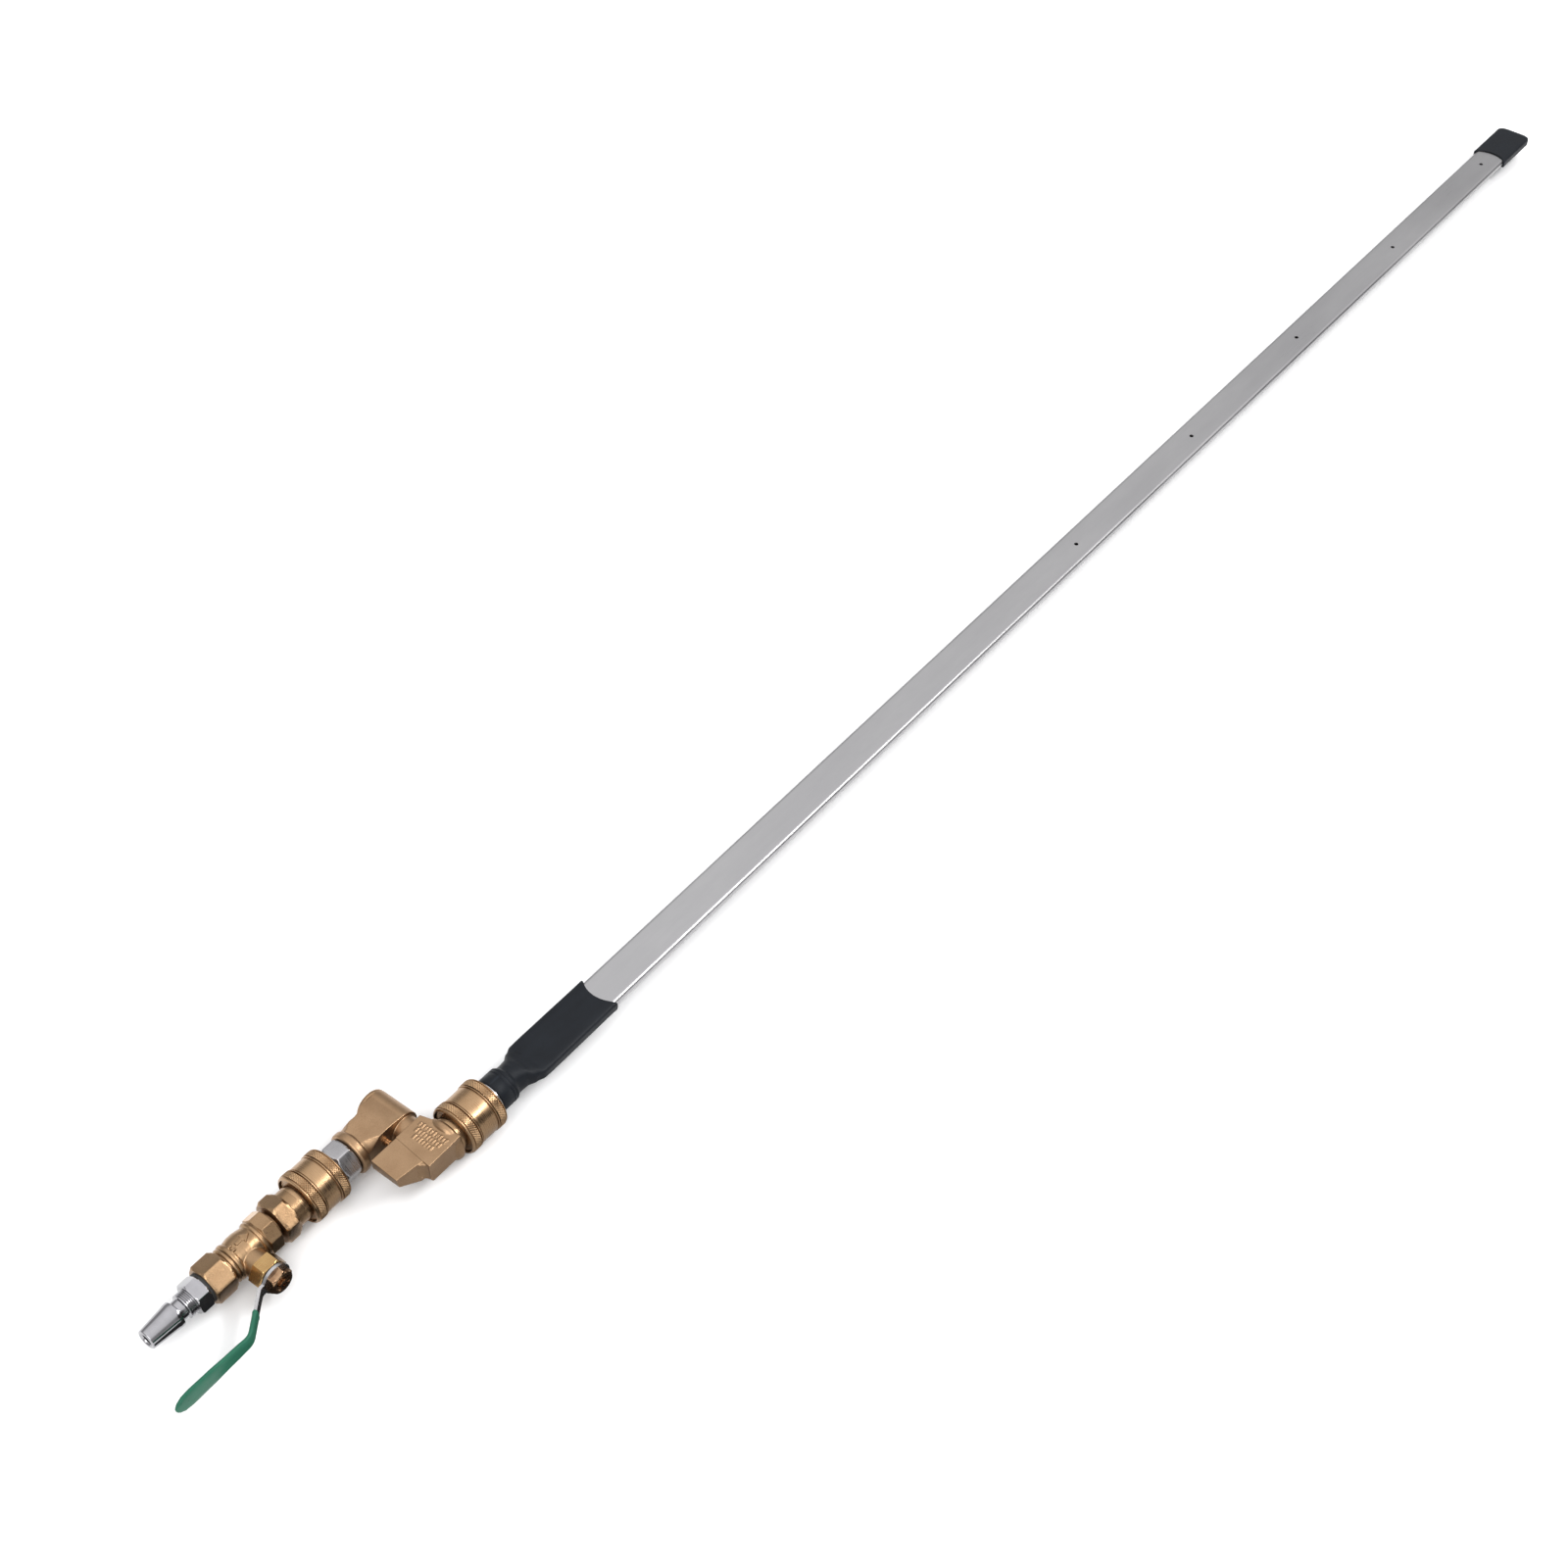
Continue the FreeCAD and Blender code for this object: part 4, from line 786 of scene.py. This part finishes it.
def make_boot():
    """Vinyl boot: ringed collar, waist, shoulders, then flat over the blade to a hollow mouth."""
    low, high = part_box("lance_boot")
    y = (low.y + high.y) / 2
    root = low.x + 1.7 * MM          # outlines are measured from here, behind the collar's lip
    length = (high.x - root) / MM
    rings = []
    collar = [(-1.7, 7.9), (-1.35, 8.35), (-0.9, 8.5), (4.6, 8.5), (4.8, 8.3), (5.2, 8.3),
              (5.4, 8.5), (6.2, 8.5), (6.4, 8.25), (6.8, 8.25), (7.0, 8.45), (7.6, 8.4), (8.3, 7.95),
              (8.7, 7.5), (9.6, 7.25)]
    for x, r in collar:
        rings.append(rounded_ring(Vector((root + x * MM, y, 0)), SIDE, UP, r * MM, r * MM, 2))
    flare = [(11.4, 7.2, 7.2, 2.0), (14.6, 7.4, 6.4, 2.3), (18.4, 9.3, 4.7, 3.0),
             (22.4, 10.75, 3.45, 4.2), (28.0, 10.8, 3.2, 5.0), (44.0, 10.75, 3.12, 5.0)]
    for x, a, b, power in eased(flare, 5):
        rings.append(rounded_ring(Vector((root + x * MM, y, 0)), SIDE, UP, a * MM, b * MM, power))
    mouth = [(46.0, 10.75, 3.12), (52.0, 10.72, 3.10), (58.0, 10.70, 3.08), (63.0, 10.68, 3.06),
             (66.0, 10.68, 3.06), (67.6, 10.70, 3.10), (68.6, 10.72, 3.16), (69.2, 10.66, 3.10),
             (length, 10.45, 2.85), (length, 9.9, 2.45), (length - 0.7, 9.65, 2.22),
             (length - 6.0, 9.6, 2.16), (length - 20.0, 9.6, 2.16)]
    bow_start, bow_run = 44.0, 22.0
    for x, a, b in mouth:
        share = max(0.0, min(1.0, (x - bow_start) / bow_run))
        bow = mouth_bow(a * MM, -MOUTH_HOLLOW * MM, share)
        centre = Vector((root + x * MM, y, 0))
        rings.append(rounded_ring(centre, SIDE, UP, a * MM, b * MM, 5.0, bow))
    inner = [(34.0, 9.6, 2.9, 4.0), (22.0, 9.2, 3.1, 3.0), (15.5, 6.3, 5.3, 2.0),
             (9.0, 6.25, 6.25, 2.0), (-0.4, 6.25, 6.25, 2.0), (-0.4, 4.6, 4.6, 2.0),
             (-1.7, 4.6, 4.6, 2.0)]
    for x, a, b, power in inner:
        rings.append(rounded_ring(Vector((root + x * MM, y, 0)), SIDE, UP, a * MM, b * MM, power))
    add_piece("boot", skin_rings("boot", rings, loop=True), "lance_boot", keep_sharp=False)


def make_cap():
    """Vinyl cap on the blade's tip: hollow mouth, flat faces and rounded corners in plan."""
    low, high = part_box("tip_cap")
    y = (low.y + high.y) / 2
    length = (high.x - low.x) / MM
    corner = 4.0                     # radius of the tip's corners in plan
    bow_run = 16.0
    outer = [(0.0, 10.35, 2.8), (0.35, 10.6, 3.06), (1.0, 10.6, 3.1), (1.8, 10.55, 3.02),
             (6.0, 10.55, 3.02), (14.0, 10.58, 3.06), (length - 5.0, 10.6, 3.1)]
    for k in range(9):
        turn = math.pi / 2 * k / 8
        x = length - corner + corner * math.sin(turn)
        outer.append((x, 10.6 - corner * (1 - math.cos(turn)), 3.1 - 1.5 * (1 - math.cos(turn))))
    inner = [(0.0, 9.8, 2.4), (0.6, 9.6, 2.2), (8.0, 9.55, 2.15), (length - 6.2, 9.55, 2.15)]
    rings = []
    for x, a, b in inner[::-1] + outer:
        share = max(0.0, min(1.0, 1 - x / bow_run))
        bow = mouth_bow(a * MM, MOUTH_HOLLOW * MM, share)
        centre = Vector((low.x + x * MM, y, 0))
        rings.append(rounded_ring(centre, SIDE, UP, a * MM, b * MM, 5.0, bow))
    add_piece("cap", skin_rings("cap", rings, loop=False), "tip_cap", keep_sharp=False)


LEVER_T = 1.4
GRIP_T = 2.3
GRIP_START = (-16.4, -6.0)        # from the stem and the lever's middle plane, in plan
GRIP_BEND = (-25.8, -13.0)
GRIP_WIDTHS = ((-14.0, 3.2), (-26.0, 3.4), (-36.0, 4.0), (-48.0, 4.8), (-57.0, 5.05),
               (-61.0, 4.6), (-63.4, 3.3), (-64.6, 2.0), (-65.1, 0.9))


def width_at(along):
    """Half width of the grip at a distance from the stem."""
    for (x0, w0), (x1, w1) in zip(GRIP_WIDTHS[:-1], GRIP_WIDTHS[1:]):
        if along >= x1:
            t = (along - x0) / (x1 - x0)
            return w0 + (w1 - w0) * t * t * (3 - 2 * t)
    return GRIP_WIDTHS[-1][1]


def make_grip():
    """Dipped vinyl grip along the lever, with a drip lip and a rounded tip."""
    ball_low, ball_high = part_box("valve_ball")
    stem_x = (ball_low.x + ball_high.x) / 2
    plane_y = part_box("lever_nut")[1].y + LEVER_T / 2 * MM
    start, bend = Vector(GRIP_START), Vector(GRIP_BEND)
    slope = (bend - start).normalized()
    straight = Vector((-1, 0))
    ease = 2.4                       # length of each half of the rounded bend
    a, b = bend - slope * ease, bend + straight * ease
    path = [(start, slope, 0.55), (start + slope * 0.12, slope, 0.95),
            (start + slope * 0.5, slope, 1.12), (start + slope * 1.1, slope, 1.1),
            (start + slope * 1.7, slope, 1.0)]
    path += [(start + (a - start) * k / 6, slope, 1.0) for k in range(2, 6)]
    for k in range(11):
        t = k / 10
        point = a * (1 - t) ** 2 + bend * 2 * t * (1 - t) + b * t * t
        path.append((point, (slope * (1 - t) + straight * t).normalized(), 1.0))
    far = Vector((GRIP_WIDTHS[-1][0], bend.y))
    steps, round_from = 34, 27       # the tip's rounding takes up the last steps
    path += [(b + (far - b) * k / steps, straight, 1.0) for k in range(1, round_from + 1)]
    for k in range(1, 13):
        turn = math.pi / 2 * k / 12
        shut = math.cos(turn)
        reach = round_from + (steps - round_from) * math.sin(turn)
        point = b + (far - b) * reach / steps
        path.append((point, straight, max(0.4, shut ** 0.5)))
    rings = []
    for point, along, swell in path:
        centre = Vector((stem_x + point.x * MM, plane_y + point.y * MM, 0))
        side = Vector((-along.y, along.x, 0))
        half = width_at(point.x) * MM
        rings.append(rounded_ring(centre, side, UP, GRIP_T / 2 * MM * swell, half, 3.2, count=96))
    add_piece("grip", skin_rings("grip", rings, loop=False), "lever_grip", keep_sharp=False)


# ---- springs -----------------------------------------------------------------------------------
SPRING_WIRE = 0.6 * MM            # radius of the wire
SPRING_TURNS = 4
SPRING_STEPS = 40                 # rings of the mesh in each turn


def make_spring(name, node):
    """Round-wire spring inside a sleeve; on the real coupler it shortens as the sleeve is drawn
    back, here it keeps one length.
    """
    low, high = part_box(node)
    y = (low.y + high.y) / 2
    r = (high.z - low.z) / 2 - SPRING_WIRE
    run = high.x - low.x - 2 * SPRING_WIRE
    count = SPRING_TURNS * SPRING_STEPS
    rise = run / (SPRING_TURNS * 2 * math.pi * r)
    rings = []
    for i in range(count + 1):
        angle = 2 * math.pi * i / SPRING_STEPS
        out = Vector((0, math.cos(angle), math.sin(angle)))
        along = Vector((rise, -math.sin(angle), math.cos(angle))).normalized()
        centre = Vector((low.x + SPRING_WIRE + run * i / count, y, 0)) + out * r
        rings.append(rounded_ring(centre, out, along.cross(out), SPRING_WIRE, SPRING_WIRE, 2,
                                  count=14))
    spring = add_piece(name, skin_rings(name, rings, loop=False), node, keep_sharp=False)
    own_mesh(spring)


make_camera()
make_floor()
make_flag("black_flag", -20 * MM, 62 * MM, 0.03)
make_flag("grey_flag", 62 * MM, 165 * MM, 0.42)
make_world()
make_lights()
paint_nodes()
make_inlet_plug()
make_end_cap()
make_adapter()
make_nipple()
make_gland()
make_lever_nut()
make_sleeve("lower_sleeve_knurled", "lower_sleeve")
make_sleeve("upper_sleeve_knurled", "upper_sleeve")
make_spring("lower_spring_wire", "lower_sleeve_spring")
make_spring("upper_spring_wire", "upper_sleeve_spring")
make_castings()
make_boot()
make_cap()
make_grip()
